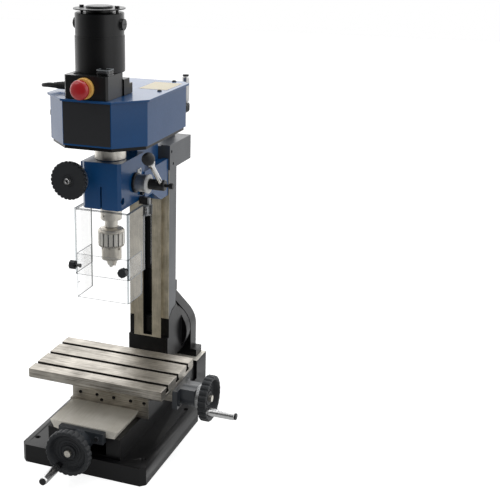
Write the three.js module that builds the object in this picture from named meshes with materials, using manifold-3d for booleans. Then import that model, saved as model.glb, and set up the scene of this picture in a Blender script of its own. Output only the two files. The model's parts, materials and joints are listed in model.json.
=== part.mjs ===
// Benchtop milling machine: cast base with tilting dovetail column, cross table on leadscrews,
// sliding head with a rack-fed quill, geared spindle drive, drill chuck and a clear chuck guard.
// Millimetres. X runs along the table to the right, Y runs back to the column, Z is up.
// The origin is on the base's resting face, below the middle of the table at rest.
import * as THREE from "three";
import { mergeVertices } from "three/addons/utils/BufferGeometryUtils.js";
import Module from "manifold-3d";

const wasm = await Module();
wasm.setup();

// Clearances and cutter overrun
const gap = 0.3; // seating and running clearance between two pieces
const overrun = 1; // how far a cutter passes through the face it cuts
const bite = 0.5; // how far two bodies of one casting run into each other

// Facets round a full circle
const fine = 32;
const round = 22;
const small = 12;
const cornerFacets = 4; // in a quarter turn

// Spindle and column lines that most pieces follow
const spindleY = 5;
const saddleY = 5; // middle of the saddle and of the X leadscrew
const columnFaceY = 154.8;

const TABLE = {
  length: 240, width: 145, thickness: 17.5, top: 146.8, edgeChamfer: 3,
  slotPitch: 45, throatWidth: 8, throatDepth: 7, headWidth: 14, headHeight: 5.5,
  wayTop: 42, wayBottom: 52, wayDepth: 22, channelWidth: 17,
};
const BASE = {
  halfWidth: 111.6, front: -121.4, wideBack: 125, narrowHalf: 70, narrowStart: 200, back: 278,
  flangeHeight: 32, blockHalf: 65, blockFront: -110.4, blockBack: 150, blockTop: 69,
  wayTop: 81.9, wayHalf: 61.5, wayRootHalf: 55, wayDepth: 11, wayBack: 125,
  deckTop: 60, pedestalFront: 228, pedestalTop: 68, edgeRadius: 8,
  recessHalf: 40, recessLow: 36, recessHigh: 59, recessDepth: 30,
  slotHalf: 10, slotFront: -25, slotBack: 67, slotFloor: 44,
  holeRadius: 5, holeInset: 15, holeFrontY: -91, holeBackY: 100, rimWall: 11, ribHalf: 12, hollowDepth: 21,
  hollowBack: 190,
};
const SADDLE = {
  left: -61.5, right: 79, depth: 64, top: 129, floorTop: 100, keeperOut: 5, keeperDepth: 13,
  screwRadius: 3.2, screwDepth: 5, screwPitch: 31, screwZ: 97, screwShares: [-1.5, -0.5, 0.5, 1.5],
  endScrewInset: 8, lowScrewX: -7, lowScrewZ: 89,
};
const NUT = { halfX: 8, halfY: 9, y: 21, xHalfX: 14, xHalfY: 7, top: 122.5, low: 50, neckHalf: 7,
    footHeight: 2 };
const Y_BRACKET = { halfWidth: 40, thickness: 11, top: 80, low: 60.5, bossRadius: 19, bossLength: 24,
    boltRadius: 4, boltX: 29, boltHead: 3 };
const X_BRACKET = {
  halfWidth: 30, thickness: 9, low: 96, top: 128.5, bossHalf: 18, bossTop: 129, bossLength: 26, boltRadius: 4,
  boltHead: 3, boltY: 24,
};
const yScrewZ = 61;
const xScrewZ = 112.5;

// One handwheel set, along its own axis from the bearing face outwards
const WHEEL = {
  dialRadius: 20, dialLength: 11, radius: 38.5, lobes: 24, lobeDepth: 1.2, thickness: 14, dishRadius: 31.5,
  dishDepth: 9,
  backRadius: 33, backDepth: 2.5, hubRadius: 12, hubRise: 3, boreRadius: 5.2, shaftRadius: 5, screwRadius: 6,
  collarRadius: 9, collarLength: 6, nutRadius: 5.5, nutLength: 4,
  handleOrbit: 31, handleRadius: 6.6, handleNeck: 5.2, handleLength: 47.5,
  studRadius: 3, studHeadRadius: 5.6, studHeadLength: 3,
};

const COLUMN = {
  halfWidth: 38, rear: 197, top: 449.3, dovetailHalf: 26.5, rootHalf: 20.5, dovetailDepth: 8,
  grooveHalf: 8.6, grooveDepth: 16, grooveFloor: 3, slotLow: 262, pocketHalf: 24, pocketFront: 180,
  frontLow: 136, sideLowFront: 172, sideBendY: 178, sideLowBend: 185, sideLowRear: 190,
};
const BLOCK = {
  halfWidth: 39, height: 43, rear: 263, bossRadius: 13, bossHeight: 31, screwRadius: 3, screwDepth: 4,
  frontScrewIn: 16, frontScrewDrop: 12, rearScrewIn: 24, rearScrewRise: 8,
};
const zScrewY = 250;
const FOOT = {
  halfWidth: 38.5, front: 157, rear: 245, low: 88, topZ: 194, rearTop: 156, flangeRadius: 50,
  flangeThickness: 20,
  lugHalf: 15, lugRear: 263, lugLow: 192, lugTop: 212, lugRoot: 160, lugFoot: 236, lugFloor: 3, boltHole: 8.3,
  boltDepth: 30,
};
const PIVOT = { z: 125, shankRadius: 8, headRadius: 14, headLength: 11, washerRadius: 19, washerLength: 3 };
const ARCH = { radius: 50.5, thickness: 28, footHalf: 62, footHeight: 14, boreRadius: 8.3, topHalf: 9 };

const HEAD = {
  front: -32, halfWidth: 33.5, low: 426, top: 502, back: 66, chamfer: 5,
  slideHalf: 36, slideFront: 60, slideLow: 405, slideTop: 470, slideRear: 162.4, slideChamfer: 16,
  neckHalf: 22, neckFront: 62, neckRear: 150, neckTop: 530.7,
  slitWidth: 2.6, slitTop: 463, lockHoleRadius: 6, lockHoleDepth: 9, lockY: -22, lockZ: 440.5,
  wormBoxOut: 21, wormBoxFront: 8, wormBoxRear: 46, wormBoxLow: 440, wormBoxTop: 491,
};
const dovetailPlay = 0.4; // between the head's slide and the column's dovetail
const Z_NUT = { halfWidth: 7.5, low: 396, height: 16, ringRadius: 15 };
const SLEEVE = { radius: 25, wall: 7 };
const PLATE = { thickness: 6, inset: 3, low: 531 };
const HOUSING = {
  low: 536.6, top: 604.4, frontY: -77.6, frontHalf: 40.5, halfWidth: 82.4, shoulderY: -37.2, rear: 138,
  rearChamfer: 14, wall: 2.5,
  ventCount: 5, ventPitch: 9, ventLength: 34, ventHeight: 3.2, ventY: 70, ventZ: 560, glandRadius: 9,
  glandLength: 9, glandX: 45, glandZ: 556,
  lidOverhang: 4, lidThickness: 3.3, lidLip: 4,
};
const BOARD = {
  width: 90, depth: 50, thickness: 2, y: 92, z: 547, post: 8, blockHeight: 22, capRadius: 9, capHeight: 30,
  sinkHeight: 26,
  partShare: 0.25, sinkShare: 0.33,
};
const BOX = { halfWidth: 36, front: -79, rear: -24, height: 36, wall: 3, edge: 3, notch: 16.6 };
const MOTOR = {
  y: -27, radius: 38.2, bodyHeight: 87.4, wall: 4, seam: 34, seamDepth: 0.9, brushRadius: 8.5, brushLength: 3,
  brushBelow: 16.7,
  plateRadius: 39.5, plateThickness: 1.6, plateGap: 5, postRadius: 2.2, postOrbit: 29.5, postHeadRadius: 3.5,
  postHeadLength: 3.5,
  bossRadius: 20.3, bossHeight: 3.2,
  shaftRadius: 5, armatureRadius: 24, armatureInset: 16, tubeRadius: 16, tubeBore: 7,
};
const BRACKET = { halfWidth: 38, rear: 8, stepRear: -3, stepHeight: 25, lowHeight: 16 };
const ESTOP = {
  x: -1.5, z: 625.5, collarRadius: 16, collarLength: 5, stemRadius: 9, headRadius: 15, headDepth: 13,
  travel: 5, reach: 11,
  crownShares: [[0.5, 0.04], [0.85, 0.18], [1, 0.45], [0.96, 0.8]], backShare: 0.8, // of head radius and depth
};
const SWITCH = { x: 26.5, width: 13, depth: 15, height: 9, y: -70, hingeRise: 3, lean: 12 };
const KNOB = { radius: 9.5, length: 12, y: -8, z: 572, shaftRadius: 3, shaftIn: 10 };
const LEAD = { radius: 3, bendRadius: 17, reliefLength: 30, reliefBase: 7.5, reliefTip: 4, ribs: 4,
    ribDepth: 0.9, turnOut: 9, turnSteps: 8, y: -52, z: 623, returnY: -18, returnZ: 613.5 };

const GEAR = { module: 1.6, pinionTeeth: 12, wheelTeeth: 28, width: 12, low: 556, addendumShare: 0.8,
    dedendumShare: 1.15, play: 0.22, hubRadius: 15, hubHeight: 12, bore: 9.4 };
const QUILL = { radius: 16.5, low: 401, top: 515, noseRadius: 17.4, noseHeight: 22, bore: 10.6,
    screwRadius: 2.2, screwDepth: 3, screwX: -5, screwZ: 409 };
const SPINDLE = { radius: 9, top: 596, noseRadius: 10.6, noseLow: 388.5, stubRadius: 7, stubLow: 372 };
const RACK = { teeth: 12, pitchRadius: 8, y: 13, z: 460, count: 13, flatPitches: 2.5, halfWidth: 6,
    addendum: 1.1, dedendum: 1.6, play: 0.2, pressureAngle: 20 };
const CHUCK = {
  coneTop: 388, coneRadius: 12, ringRadius: 21.9, ringTop: 385, ringLow: 356.5, ringChamfer: 3, flutes: 16,
  fluteDepth: 1.7,
  bodyRadius: 18.2, lowRadius: 16.4, lowTop: 356, lowBottom: 333.5, noseRadius: 5.8, noseLow: 322,
  jawRadius: 3.1, jawAngle: 15, jawLength: 34, jawOffset: 1.2, jawTravel: 8, jawRelief: 4, jawStart: -77,
  keyHoleRadius: 2.4, keyHoleDepth: 4, keyHoleZ: 352.4, noseShare: 0.6,
};
const FEED = {
  flangeRadius: 16.5, flangeLength: 4, collarRadius: 14.2, collarLength: 17.5, ringRadius: 15.4,
  ringLength: 3.5,
  hubRadius: 8.8, hubLength: 27, tipRadius: 2.6, tipLength: 7.5, tipHeadRadius: 4.8, tipHeadLength: 6,
  shaftRadius: 5,
  leverRadius: 4, leverLength: 77, coneRadius: 8, coneLength: 15, coneStep: 2.5, ballRadius: 10.5,
  ballSeat: 7.5, leverX: 20.5, leverAngle: 135, leverHole: 4.3,
  wormWheelRadius: 9, wormWheelWidth: 12, wormWheelTeeth: 20, wormX: -43,
};
const FINE = {
  x: -43, z: 475, wormRadius: 5, wormLength: 22, shaftRadius: 4, dialRadius: 29, dialLength: 5.5,
  dialBack: -47.2, knobRadius: 31, knobLength: 8,
  lobes: 36, lobeDepth: 1.2, faceRecess: 2, faceRadius: 25, nutRadius: 5, nutLength: 3,
};
const LOCK = { radius: 4.8, length: 4.8, socket: 2.6, socketDepth: 3.5, headY: 49.7, headZ: 437.7, shank: 6 };
const GUARD = {
  left: -51, right: 47, front: -30, rear: 34, cornerRadius: 5, wall: 2, lugRise: 5.6, top: 422, low: 311,
  flangeDepth: 4.6,
  sliderTop: 345, sliderLow: 270, sliderRear: 28,
  pinX: 49, pinY: 46, pinRadius: 3, lugRadius: 6, bracketLow: 404, bracketThickness: 8, slotWidth: 5,
  slotLength: 31,
  knobRadius: 7.8, knobLength: 9, knobStand: 2.5, knobNeck: 4, knobLobes: 8, knobLobeDepth: 0.9,
  boltRadius: 2.2, boltHeadRadius: 3.3, boltHeadLength: 2.4, knobX: 39, knobY: -21, frontKnobZ: 326.5,
  sideKnobZ: 322.5,
};

// Finishes
const finish = (color, roughness, metalness) => ({ color, roughness, metalness });
const castBlack = finish(0x2b2d30, 0.55, 0.1);
const castGrey = finish(0x6f7278, 0.5, 0.2);
const blueEnamel = finish(0x2d5284, 0.35, 0.1);
const groundSteel = finish(0xb9b4a8, 0.3, 0.9);
const turnedSteel = finish(0xc8c8c6, 0.2, 1);
const blackPlastic = finish(0x1d1e20, 0.5, 0);
const bronze = finish(0xa98548, 0.4, 1);
const redPlastic = finish(0xb3202c, 0.35, 0);
const yellowPlastic = finish(0xf1b53a, 0.45, 0);
const clearPlastic = finish(0xdfe6e8, 0.1, 0);
const dialGrey = finish(0xc3c6c8, 0.45, 0.3);
const boardGreen = finish(0x2c6b45, 0.6, 0);

// Turns a closed geometry into a solid, facing outwards
function solid(geometry) {
  const bare = geometry.clone();
  bare.deleteAttribute("normal");
  bare.deleteAttribute("uv");
  const merged = mergeVertices(bare);
  const triVerts = new Uint32Array(merged.index.array);
  const vertProperties = merged.attributes.position.array;
  const made = new wasm.Manifold(new wasm.Mesh({ numProp: 3, vertProperties, triVerts }));
  if (made.volume() > 0) return made;
  for (let i = 0; i < triVerts.length; i += 3) [triVerts[i + 1], triVerts[i + 2]] = [triVerts[i + 2],
      triVerts[i + 1]];
  return new wasm.Manifold(new wasm.Mesh({ numProp: 3, vertProperties, triVerts }));
}

// Geometry of a solid, for a mesh
function geometryOf(made) {
  const found = made.getMesh();
  const positions = new Float32Array(found.numVert * 3);
  for (let i = 0; i < found.numVert; i++) positions.set(found.vertProperties.subarray(i * found.numProp,
      i * found.numProp + 3), i * 3);
  const geometry = new THREE.BufferGeometry();
  geometry.setAttribute("position", new THREE.BufferAttribute(positions, 3));
  geometry.setIndex(new THREE.BufferAttribute(found.triVerts, 1));
  return geometry;
}

const turnTo = {
  x: new THREE.Matrix4().set(0, 0, 1, 0, 1, 0, 0, 0, 0, 1, 0, 0, 0, 0, 0, 1),
  y: new THREE.Matrix4().set(1, 0, 0, 0, 0, 0, -1, 0, 0, 1, 0, 0, 0, 0, 0, 1),
  z: new THREE.Matrix4(),
};

// A box between two corners
function box([x0, x1], [y0, y1], [z0, z1]) {
  const geometry = new THREE.BoxGeometry(x1 - x0, y1 - y0, z1 - z0);
  return solid(geometry.translate((x0 + x1) / 2, (y0 + y1) / 2, (z0 + z1) / 2));
}

// An outline pushed along an axis: its two coordinates are (y, z) along x, (x, z) along y and (x, y) along z
function prism(axis, outline, from, to, segments = small) {
  const shape = outline instanceof THREE.Shape ? outline : new THREE.Shape(outline.map(([a,
      b]) => new THREE.Vector2(a, b)));
  const geometry = new THREE.ExtrudeGeometry(shape, { depth: to - from, bevelEnabled: false,
      curveSegments: segments });
  geometry.applyMatrix4(turnTo[axis]);
  if (axis === "x") geometry.translate(from, 0, 0);
  if (axis === "y") geometry.translate(0, to, 0);
  if (axis === "z") geometry.translate(0, 0, from);
  return solid(geometry);
}

// A profile of (radius, place along the axis) turned round a line along an axis through a point
function turned(axis, profile, [a, b], facets = round) {
  const geometry = new THREE.LatheGeometry(profile.map(([r, s]) => new THREE.Vector2(r, s)), facets);
  if (axis === "z") geometry.rotateX(Math.PI / 2).translate(a, b, 0);
  if (axis === "x") geometry.rotateZ(-Math.PI / 2).translate(0, a, b);
  if (axis === "y") geometry.translate(a, 0, b);
  return solid(geometry);
}

// A plain round bar along an axis
function bar(axis, radius, from, to, at, facets = round) {
  return turned(axis, [[0, from], [radius, from], [radius, to], [0, to]], at, facets);
}

// A round bar with both ends chamfered
function chamferedBar(axis, radius, from, to, at, chamfer, facets = round) {
  const profile = [[0, from], [radius - chamfer, from], [radius, from + chamfer], [radius, to - chamfer],
      [radius - chamfer, to], [0, to]];
  return turned(axis, profile, at, facets);
}

// Points round a circle whose rim has shallow lobes
function lobedOutline(radius, lobes, depth, stepsPerLobe = 3) {
  const points = [];
  for (let i = 0; i < lobes * stepsPerLobe; i++) {
    const turn = (2 * Math.PI * i) / (lobes * stepsPerLobe);
    const reach = radius - (depth * (1 - Math.cos(lobes * turn))) / 2;
    points.push([reach * Math.cos(turn), reach * Math.sin(turn)]);
  }
  return points;
}

// Involute gear outline, its first tooth centred on the given angle
function gearOutline(teeth, module, addendum, dedendum, play, startAngle, pressure = (20 * Math.PI) / 180) {
  const pitch = (teeth * module) / 2;
  const baseCircle = pitch * Math.cos(pressure);
  const tip = pitch + addendum;
  const root = pitch - dedendum;
  const involute = (r) => {
    if (r <= baseCircle) return 0;
    return Math.sqrt((r / baseCircle) ** 2 - 1) - Math.acos(baseCircle / r);
  };
  const halfAtPitch = Math.PI / (2 * teeth) - play / (2 * pitch);
  const half = (r) => halfAtPitch + involute(pitch) - involute(r);
  const radii = [root, Math.max(root, baseCircle), pitch, tip];
  const points = [];
  for (let i = 0; i < teeth; i++) {
    const middle = startAngle + (2 * Math.PI * i) / teeth;
    for (const r of radii) points.push([r * Math.cos(middle - half(r)), r * Math.sin(middle - half(r))]);
    for (const r of [...radii].reverse()) points.push([r * Math.cos(middle + half(r)),
        r * Math.sin(middle + half(r))]);
  }
  return points.filter((p, i) => i === 0 || Math.hypot(p[0] - points[i - 1][0],
      p[1] - points[i - 1][1]) > Number.EPSILON);
}

// A U-shaped wall in plan: round front corners, open at the back
function wrapOutline(left, right, front, rear, corner, wall) {
  const shape = new THREE.Shape();
  shape.moveTo(left, rear);
  shape.lineTo(left, front + corner);
  shape.absarc(left + corner, front + corner, corner, Math.PI, 1.5 * Math.PI, false);
  shape.absarc(right - corner, front + corner, corner, 1.5 * Math.PI, 2 * Math.PI, false);
  shape.lineTo(right, rear);
  shape.lineTo(right - wall, rear);
  shape.absarc(right - corner, front + corner, corner - wall, 0, -Math.PI / 2, true);
  shape.absarc(left + corner, front + corner, corner - wall, 1.5 * Math.PI, Math.PI, true);
  shape.lineTo(left + wall, rear);
  return shape;
}

const join = (first, ...others) => others.reduce((sum, next) => sum.add(next), first);
const cut = (first, ...others) => others.reduce((rest, next) => rest.subtract(next), first);

// A named mesh with its own material
function piece(name, made, { color, roughness, metalness }) {
  const mesh = new THREE.Mesh(geometryOf(made), new THREE.MeshStandardMaterial({ color, roughness,
      metalness }));
  mesh.name = name;
  return mesh;
}

function group(...meshes) {
  const holder = new THREE.Group();
  holder.add(...meshes);
  return holder;
}

// Base casting

// Foot of the base in plan: wide under the table, drawn in behind to the column's pedestal
function basePlan(inset) {
  const r = BASE.edgeRadius;
  const x = BASE.halfWidth - inset;
  const front = BASE.front + inset;
  const narrow = BASE.narrowHalf - inset;
  const back = BASE.back - inset;
  return [
    [-x + r, front], [x - r, front], [x, front + r], [x, BASE.wideBack], [narrow, BASE.narrowStart],
    [narrow, back], [-narrow, back], [-narrow, BASE.narrowStart], [-x, BASE.wideBack], [-x, front + r],
  ];
}

function dovetailOutline(topHalf, rootHalf, top, depth) {
  return [[-rootHalf, top - depth], [rootHalf, top - depth], [topHalf, top], [-topHalf, top]];
}

function baseCasting() {
  const { blockHalf, blockFront, blockBack, blockTop, flangeHeight, rimWall, ribHalf, hollowDepth } = BASE;
  const flange = prism("z", basePlan(0), 0, flangeHeight);
  const block = box([-blockHalf, blockHalf], [blockFront, blockBack], [flangeHeight - bite, blockTop]);
  const deck = box([-blockHalf, blockHalf], [blockBack - bite, BASE.pedestalFront + bite],
      [flangeHeight - bite, BASE.deckTop]);
  const pedestal = box([-BASE.narrowHalf, BASE.narrowHalf], [BASE.pedestalFront, BASE.back],
      [flangeHeight - bite, BASE.pedestalTop]);
  const root = box([-BASE.wayRootHalf, BASE.wayRootHalf], [blockFront, BASE.wayBack], [blockTop - bite,
      BASE.wayTop - BASE.wayDepth + bite]);
  const ways = prism("y", dovetailOutline(BASE.wayHalf, BASE.wayRootHalf, BASE.wayTop, BASE.wayDepth),
      blockFront, BASE.wayBack);
  const slot = box([-BASE.slotHalf, BASE.slotHalf], [BASE.slotFront, BASE.slotBack], [BASE.slotFloor,
      BASE.wayTop + overrun]);
  const screwBore = bar("y", WHEEL.screwRadius + 2 * gap, blockFront - overrun, BASE.slotBack + BASE.slotHalf,
      [0, yScrewZ], small);
  const recess = box([-BASE.recessHalf, BASE.recessHalf], [blockFront - overrun,
      blockFront + BASE.recessDepth], [BASE.recessLow, BASE.recessHigh]);
  let made = cut(join(flange, block, deck, pedestal, root, ways), slot, screwBore, recess);
  for (const side of [-1, 1]) {
    const near = side * ribHalf;
    const far = side * (blockHalf - rimWall);
    const span = [Math.min(near, far), Math.max(near, far)];
    made = made.subtract(box(span, [BASE.front + rimWall, -ribHalf], [-overrun, hollowDepth]));
    made = made.subtract(box(span, [ribHalf, BASE.hollowBack], [-overrun, hollowDepth]));
    for (const y of [BASE.holeFrontY, BASE.holeBackY]) {
      const at = [side * (BASE.halfWidth - BASE.holeInset), y];
      made = made.subtract(bar("z", BASE.holeRadius, -overrun, flangeHeight + overrun, at, small));
    }
  }
  return made;
}

// Upright plate that the column swivels on
function tiltBracket() {
  const front = FOOT.rear + gap;
  const rear = front + ARCH.thickness;
  const low = BASE.pedestalTop + gap;
  const shape = new THREE.Shape();
  shape.moveTo(-ARCH.footHalf, low);
  shape.lineTo(ARCH.footHalf, low);
  shape.lineTo(ARCH.footHalf, low + ARCH.footHeight);
  shape.lineTo(ARCH.radius, low + ARCH.footHeight);
  shape.absarc(0, PIVOT.z, ARCH.radius, 0, Math.PI / 4, false);
  shape.lineTo(ARCH.topHalf, PIVOT.z + ARCH.radius * Math.SQRT2 - ARCH.topHalf);
  shape.lineTo(-ARCH.topHalf, PIVOT.z + ARCH.radius * Math.SQRT2 - ARCH.topHalf);
  shape.absarc(0, PIVOT.z, ARCH.radius, 0.75 * Math.PI, Math.PI, false);
  shape.lineTo(-ARCH.radius, low + ARCH.footHeight);
  shape.lineTo(-ARCH.footHalf, low + ARCH.footHeight);
  const plate = prism("y", shape, front, rear, small);
  return cut(plate, bar("y", ARCH.boreRadius, front - overrun, rear + overrun, [0, PIVOT.z]));
}

function yBearingBracket() {
  const face = BASE.blockFront - gap;
  const front = face - Y_BRACKET.thickness;
  const plate = box([-Y_BRACKET.halfWidth, Y_BRACKET.halfWidth], [front, face], [Y_BRACKET.low, Y_BRACKET.top]);
  const boss = bar("y", Y_BRACKET.bossRadius, front - Y_BRACKET.bossLength, face, [0, yScrewZ]);
  const bore = bar("y", WHEEL.collarRadius + gap, front - Y_BRACKET.bossLength - overrun, face + overrun, [0,
      yScrewZ]);
  let made = cut(join(plate, boss), bore);
  for (const side of [-1, 1]) {
    const at = [side * Y_BRACKET.boltX, (Y_BRACKET.low + Y_BRACKET.top) / 2];
    made = made.add(bar("y", Y_BRACKET.boltRadius, front - Y_BRACKET.boltHead, front + bite, at, small));
  }
  return made;
}

function pivotBolt() {
  const rear = FOOT.rear + gap + ARCH.thickness + gap;
  return turned("y", [
    [0, FOOT.rear - FOOT.boltDepth + gap], [PIVOT.shankRadius, FOOT.rear - FOOT.boltDepth + gap],
    [PIVOT.shankRadius, rear],
    [PIVOT.washerRadius, rear], [PIVOT.washerRadius, rear + PIVOT.washerLength], [PIVOT.headRadius,
    rear + PIVOT.washerLength],
    [PIVOT.headRadius, rear + PIVOT.washerLength + PIVOT.headLength], [0,
    rear + PIVOT.washerLength + PIVOT.headLength],
  ], [0, PIVOT.z], small);
}

// Handwheel set along +Z, its bearing face at z = 0

function leadscrew(name, threadLength, collarFrom) {
  const wheelFrom = 2 * gap + WHEEL.dialLength;
  const end = wheelFrom + gap + WHEEL.thickness - WHEEL.dishDepth + WHEEL.hubRise;
  const made = turned("z", [
    [0, -threadLength], [WHEEL.screwRadius, -threadLength], [WHEEL.screwRadius,
    -collarFrom - WHEEL.collarLength],
    [WHEEL.collarRadius, -collarFrom - WHEEL.collarLength], [WHEEL.collarRadius, -collarFrom],
    [WHEEL.shaftRadius, -collarFrom],
    [WHEEL.shaftRadius, end + gap], [WHEEL.nutRadius, end + gap], [WHEEL.nutRadius,
    end + gap + WHEEL.nutLength], [0, end + gap + WHEEL.nutLength],
  ], [0, 0], round);
  return piece(name, made, turnedSteel);
}

function dial(name) {
  const bore = WHEEL.shaftRadius + gap;
  const from = gap;
  const to = gap + WHEEL.dialLength;
  const made = turned("z", [[bore, from], [WHEEL.dialRadius - bite, from], [WHEEL.dialRadius, from + bite],
      [WHEEL.dialRadius, to], [bore, to], [bore, from]], [0, 0], fine);
  return piece(name, made, turnedSteel);
}

function handwheel(name) {
  const from = 2 * gap + WHEEL.dialLength;
  const to = from + WHEEL.thickness;
  const rim = prism("z", lobedOutline(WHEEL.radius, WHEEL.lobes, WHEEL.lobeDepth), from, to);
  const dish = turned("z", [
    [WHEEL.hubRadius, to - WHEEL.dishDepth], [WHEEL.dishRadius - WHEEL.hubRise, to - WHEEL.dishDepth],
    [WHEEL.dishRadius, to + overrun], [0, to + overrun],
    [0, to - WHEEL.dishDepth + WHEEL.hubRise], [WHEEL.hubRadius, to - WHEEL.dishDepth + WHEEL.hubRise],
    [WHEEL.hubRadius, to - WHEEL.dishDepth],
  ], [0, 0], fine);
  const back = turned("z", [
    [WHEEL.dialRadius, from - overrun], [WHEEL.backRadius, from - overrun], [WHEEL.backRadius,
    from + WHEEL.backDepth],
    [WHEEL.dialRadius, from + WHEEL.backDepth], [WHEEL.dialRadius, from - overrun],
  ], [0, 0], fine);
  const bore = bar("z", WHEEL.boreRadius + gap / 2, from - overrun, to + overrun, [0, 0], small);
  const studFrom = to - WHEEL.dishDepth - bite;
  const handleEnd = to + gap + WHEEL.handleLength;
  const stud = turned("z", [
    [0, studFrom], [WHEEL.handleNeck, studFrom], [WHEEL.handleNeck, to], [WHEEL.studRadius, to],
    [WHEEL.studRadius, handleEnd + gap],
    [WHEEL.studHeadRadius, handleEnd + gap], [WHEEL.studHeadRadius, handleEnd + gap + WHEEL.studHeadLength],
    [0, handleEnd + gap + WHEEL.studHeadLength],
  ], [WHEEL.handleOrbit, 0], small);
  return piece(name, join(cut(rim, dish, back, bore), stud), castBlack);
}

function handle(name) {
  const from = 3 * gap + WHEEL.dialLength + WHEEL.thickness;
  const to = from + WHEEL.handleLength;
  const bore = WHEEL.studRadius + gap;
  const shoulder = WHEEL.handleRadius;
  const made = turned("z", [
    [bore, from], [WHEEL.handleNeck, from], [shoulder, from + WHEEL.hubRise], [shoulder, to - WHEEL.hubRise],
    [WHEEL.studHeadRadius, to], [bore, to], [bore, from],
  ], [WHEEL.handleOrbit, 0], round);
  return piece(name, made, turnedSteel);
}

// The whole set, with the handle's angle round the axis
function handwheelSet(prefix, threadLength, collarFrom, withDial, handleAngle) {
  const wheelGroup = group(handwheel(prefix + "_handwheel"), handle(prefix + "_handle"));
  wheelGroup.rotation.z = handleAngle;
  const set = group(leadscrew(prefix + "_leadscrew", threadLength, collarFrom), wheelGroup);
  if (withDial) set.add(dial(prefix + "_dial"));
  return set;
}

// Saddle, nut and table

function saddle() {
  const front = saddleY - SADDLE.depth / 2;
  const rear = saddleY + SADDLE.depth / 2;
  const bottom = BASE.wayTop + gap;
  const keeperHalf = BASE.wayHalf + SADDLE.keeperOut;
  const body = box([SADDLE.left, SADDLE.right], [front, rear], [bottom, SADDLE.top]);
  const skirt = box([-keeperHalf, keeperHalf], [front, rear], [bottom - SADDLE.keeperDepth, bottom + bite]);
  const rightCheek = box([SADDLE.left + bite, SADDLE.right], [front, rear], [bottom - SADDLE.keeperDepth,
      bottom + bite]);
  const wayCut = prism("y", dovetailOutline(BASE.wayHalf + gap, BASE.wayRootHalf + gap, bottom,
      BASE.wayDepth + gap), front - overrun, rear + overrun);
  const under = box([-BASE.wayRootHalf - gap, BASE.wayRootHalf + gap], [front - overrun, rear + overrun],
      [bottom - 2 * SADDLE.keeperDepth, bottom - BASE.wayDepth]);
  const slotHalf = TABLE.wayBottom / 2 + gap;
  const topHalf = TABLE.wayTop / 2 + gap;
  const tableLow = TABLE.top - TABLE.thickness;
  const tableWay = prism("x", [
    [saddleY - slotHalf, SADDLE.floorTop], [saddleY + slotHalf, SADDLE.floorTop], [saddleY + slotHalf,
    tableLow - TABLE.wayDepth],
    [saddleY + topHalf, tableLow + bite], [saddleY - topHalf, tableLow + bite], [saddleY - slotHalf,
    tableLow - TABLE.wayDepth],
  ], SADDLE.left - overrun - SADDLE.keeperOut, SADDLE.right + overrun);
  const nutHole = box([-NUT.neckHalf - gap, NUT.neckHalf + gap], [NUT.y - NUT.halfY - gap,
      NUT.y + NUT.halfY + gap], [bottom - overrun, SADDLE.floorTop + overrun]);
  let made = cut(join(body, skirt, rightCheek), wayCut, under, tableWay, nutHole);
  const screwAt = SADDLE.screwShares.map((share) => [share * SADDLE.screwPitch, SADDLE.screwZ]);
  for (const at of [...screwAt, [SADDLE.lowScrewX, SADDLE.lowScrewZ], [SADDLE.right - SADDLE.endScrewInset,
      SADDLE.screwZ]])
    made = made.subtract(bar("y", SADDLE.screwRadius, front - overrun, front + SADDLE.screwDepth, at, small));
  return made;
}

// One bronze block: the Y nut hangs into the base's slot and the X nut stands in the table's channel
function crossNut() {
  const bottom = BASE.wayTop + gap;
  const lower = box([-NUT.halfX, NUT.halfX], [NUT.y - NUT.halfY, NUT.y + NUT.halfY], [NUT.low, bottom - gap]);
  const neck = box([-NUT.neckHalf, NUT.neckHalf], [NUT.y - NUT.halfY, NUT.y + NUT.halfY],
      [bottom - gap - bite, SADDLE.floorTop + gap + bite]);
  const upper = box([-NUT.xHalfX, NUT.xHalfX], [saddleY - NUT.xHalfY, saddleY + NUT.xHalfY],
      [SADDLE.floorTop + gap, NUT.top]);
  const yBore = bar("y", WHEEL.screwRadius + gap, NUT.y - NUT.halfY - overrun, NUT.y + NUT.halfY + overrun,
      [0, yScrewZ]);
  const xBore = bar("x", WHEEL.screwRadius + gap, -NUT.xHalfX - overrun, NUT.xHalfX + overrun, [saddleY,
      xScrewZ]);
  const foot = box([-NUT.xHalfX, NUT.xHalfX], [saddleY - NUT.xHalfY, NUT.y + NUT.halfY],
      [SADDLE.floorTop + gap, SADDLE.floorTop + gap + NUT.footHeight]);
  return cut(join(lower, neck, upper, foot), yBore, xBore);
}

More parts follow.
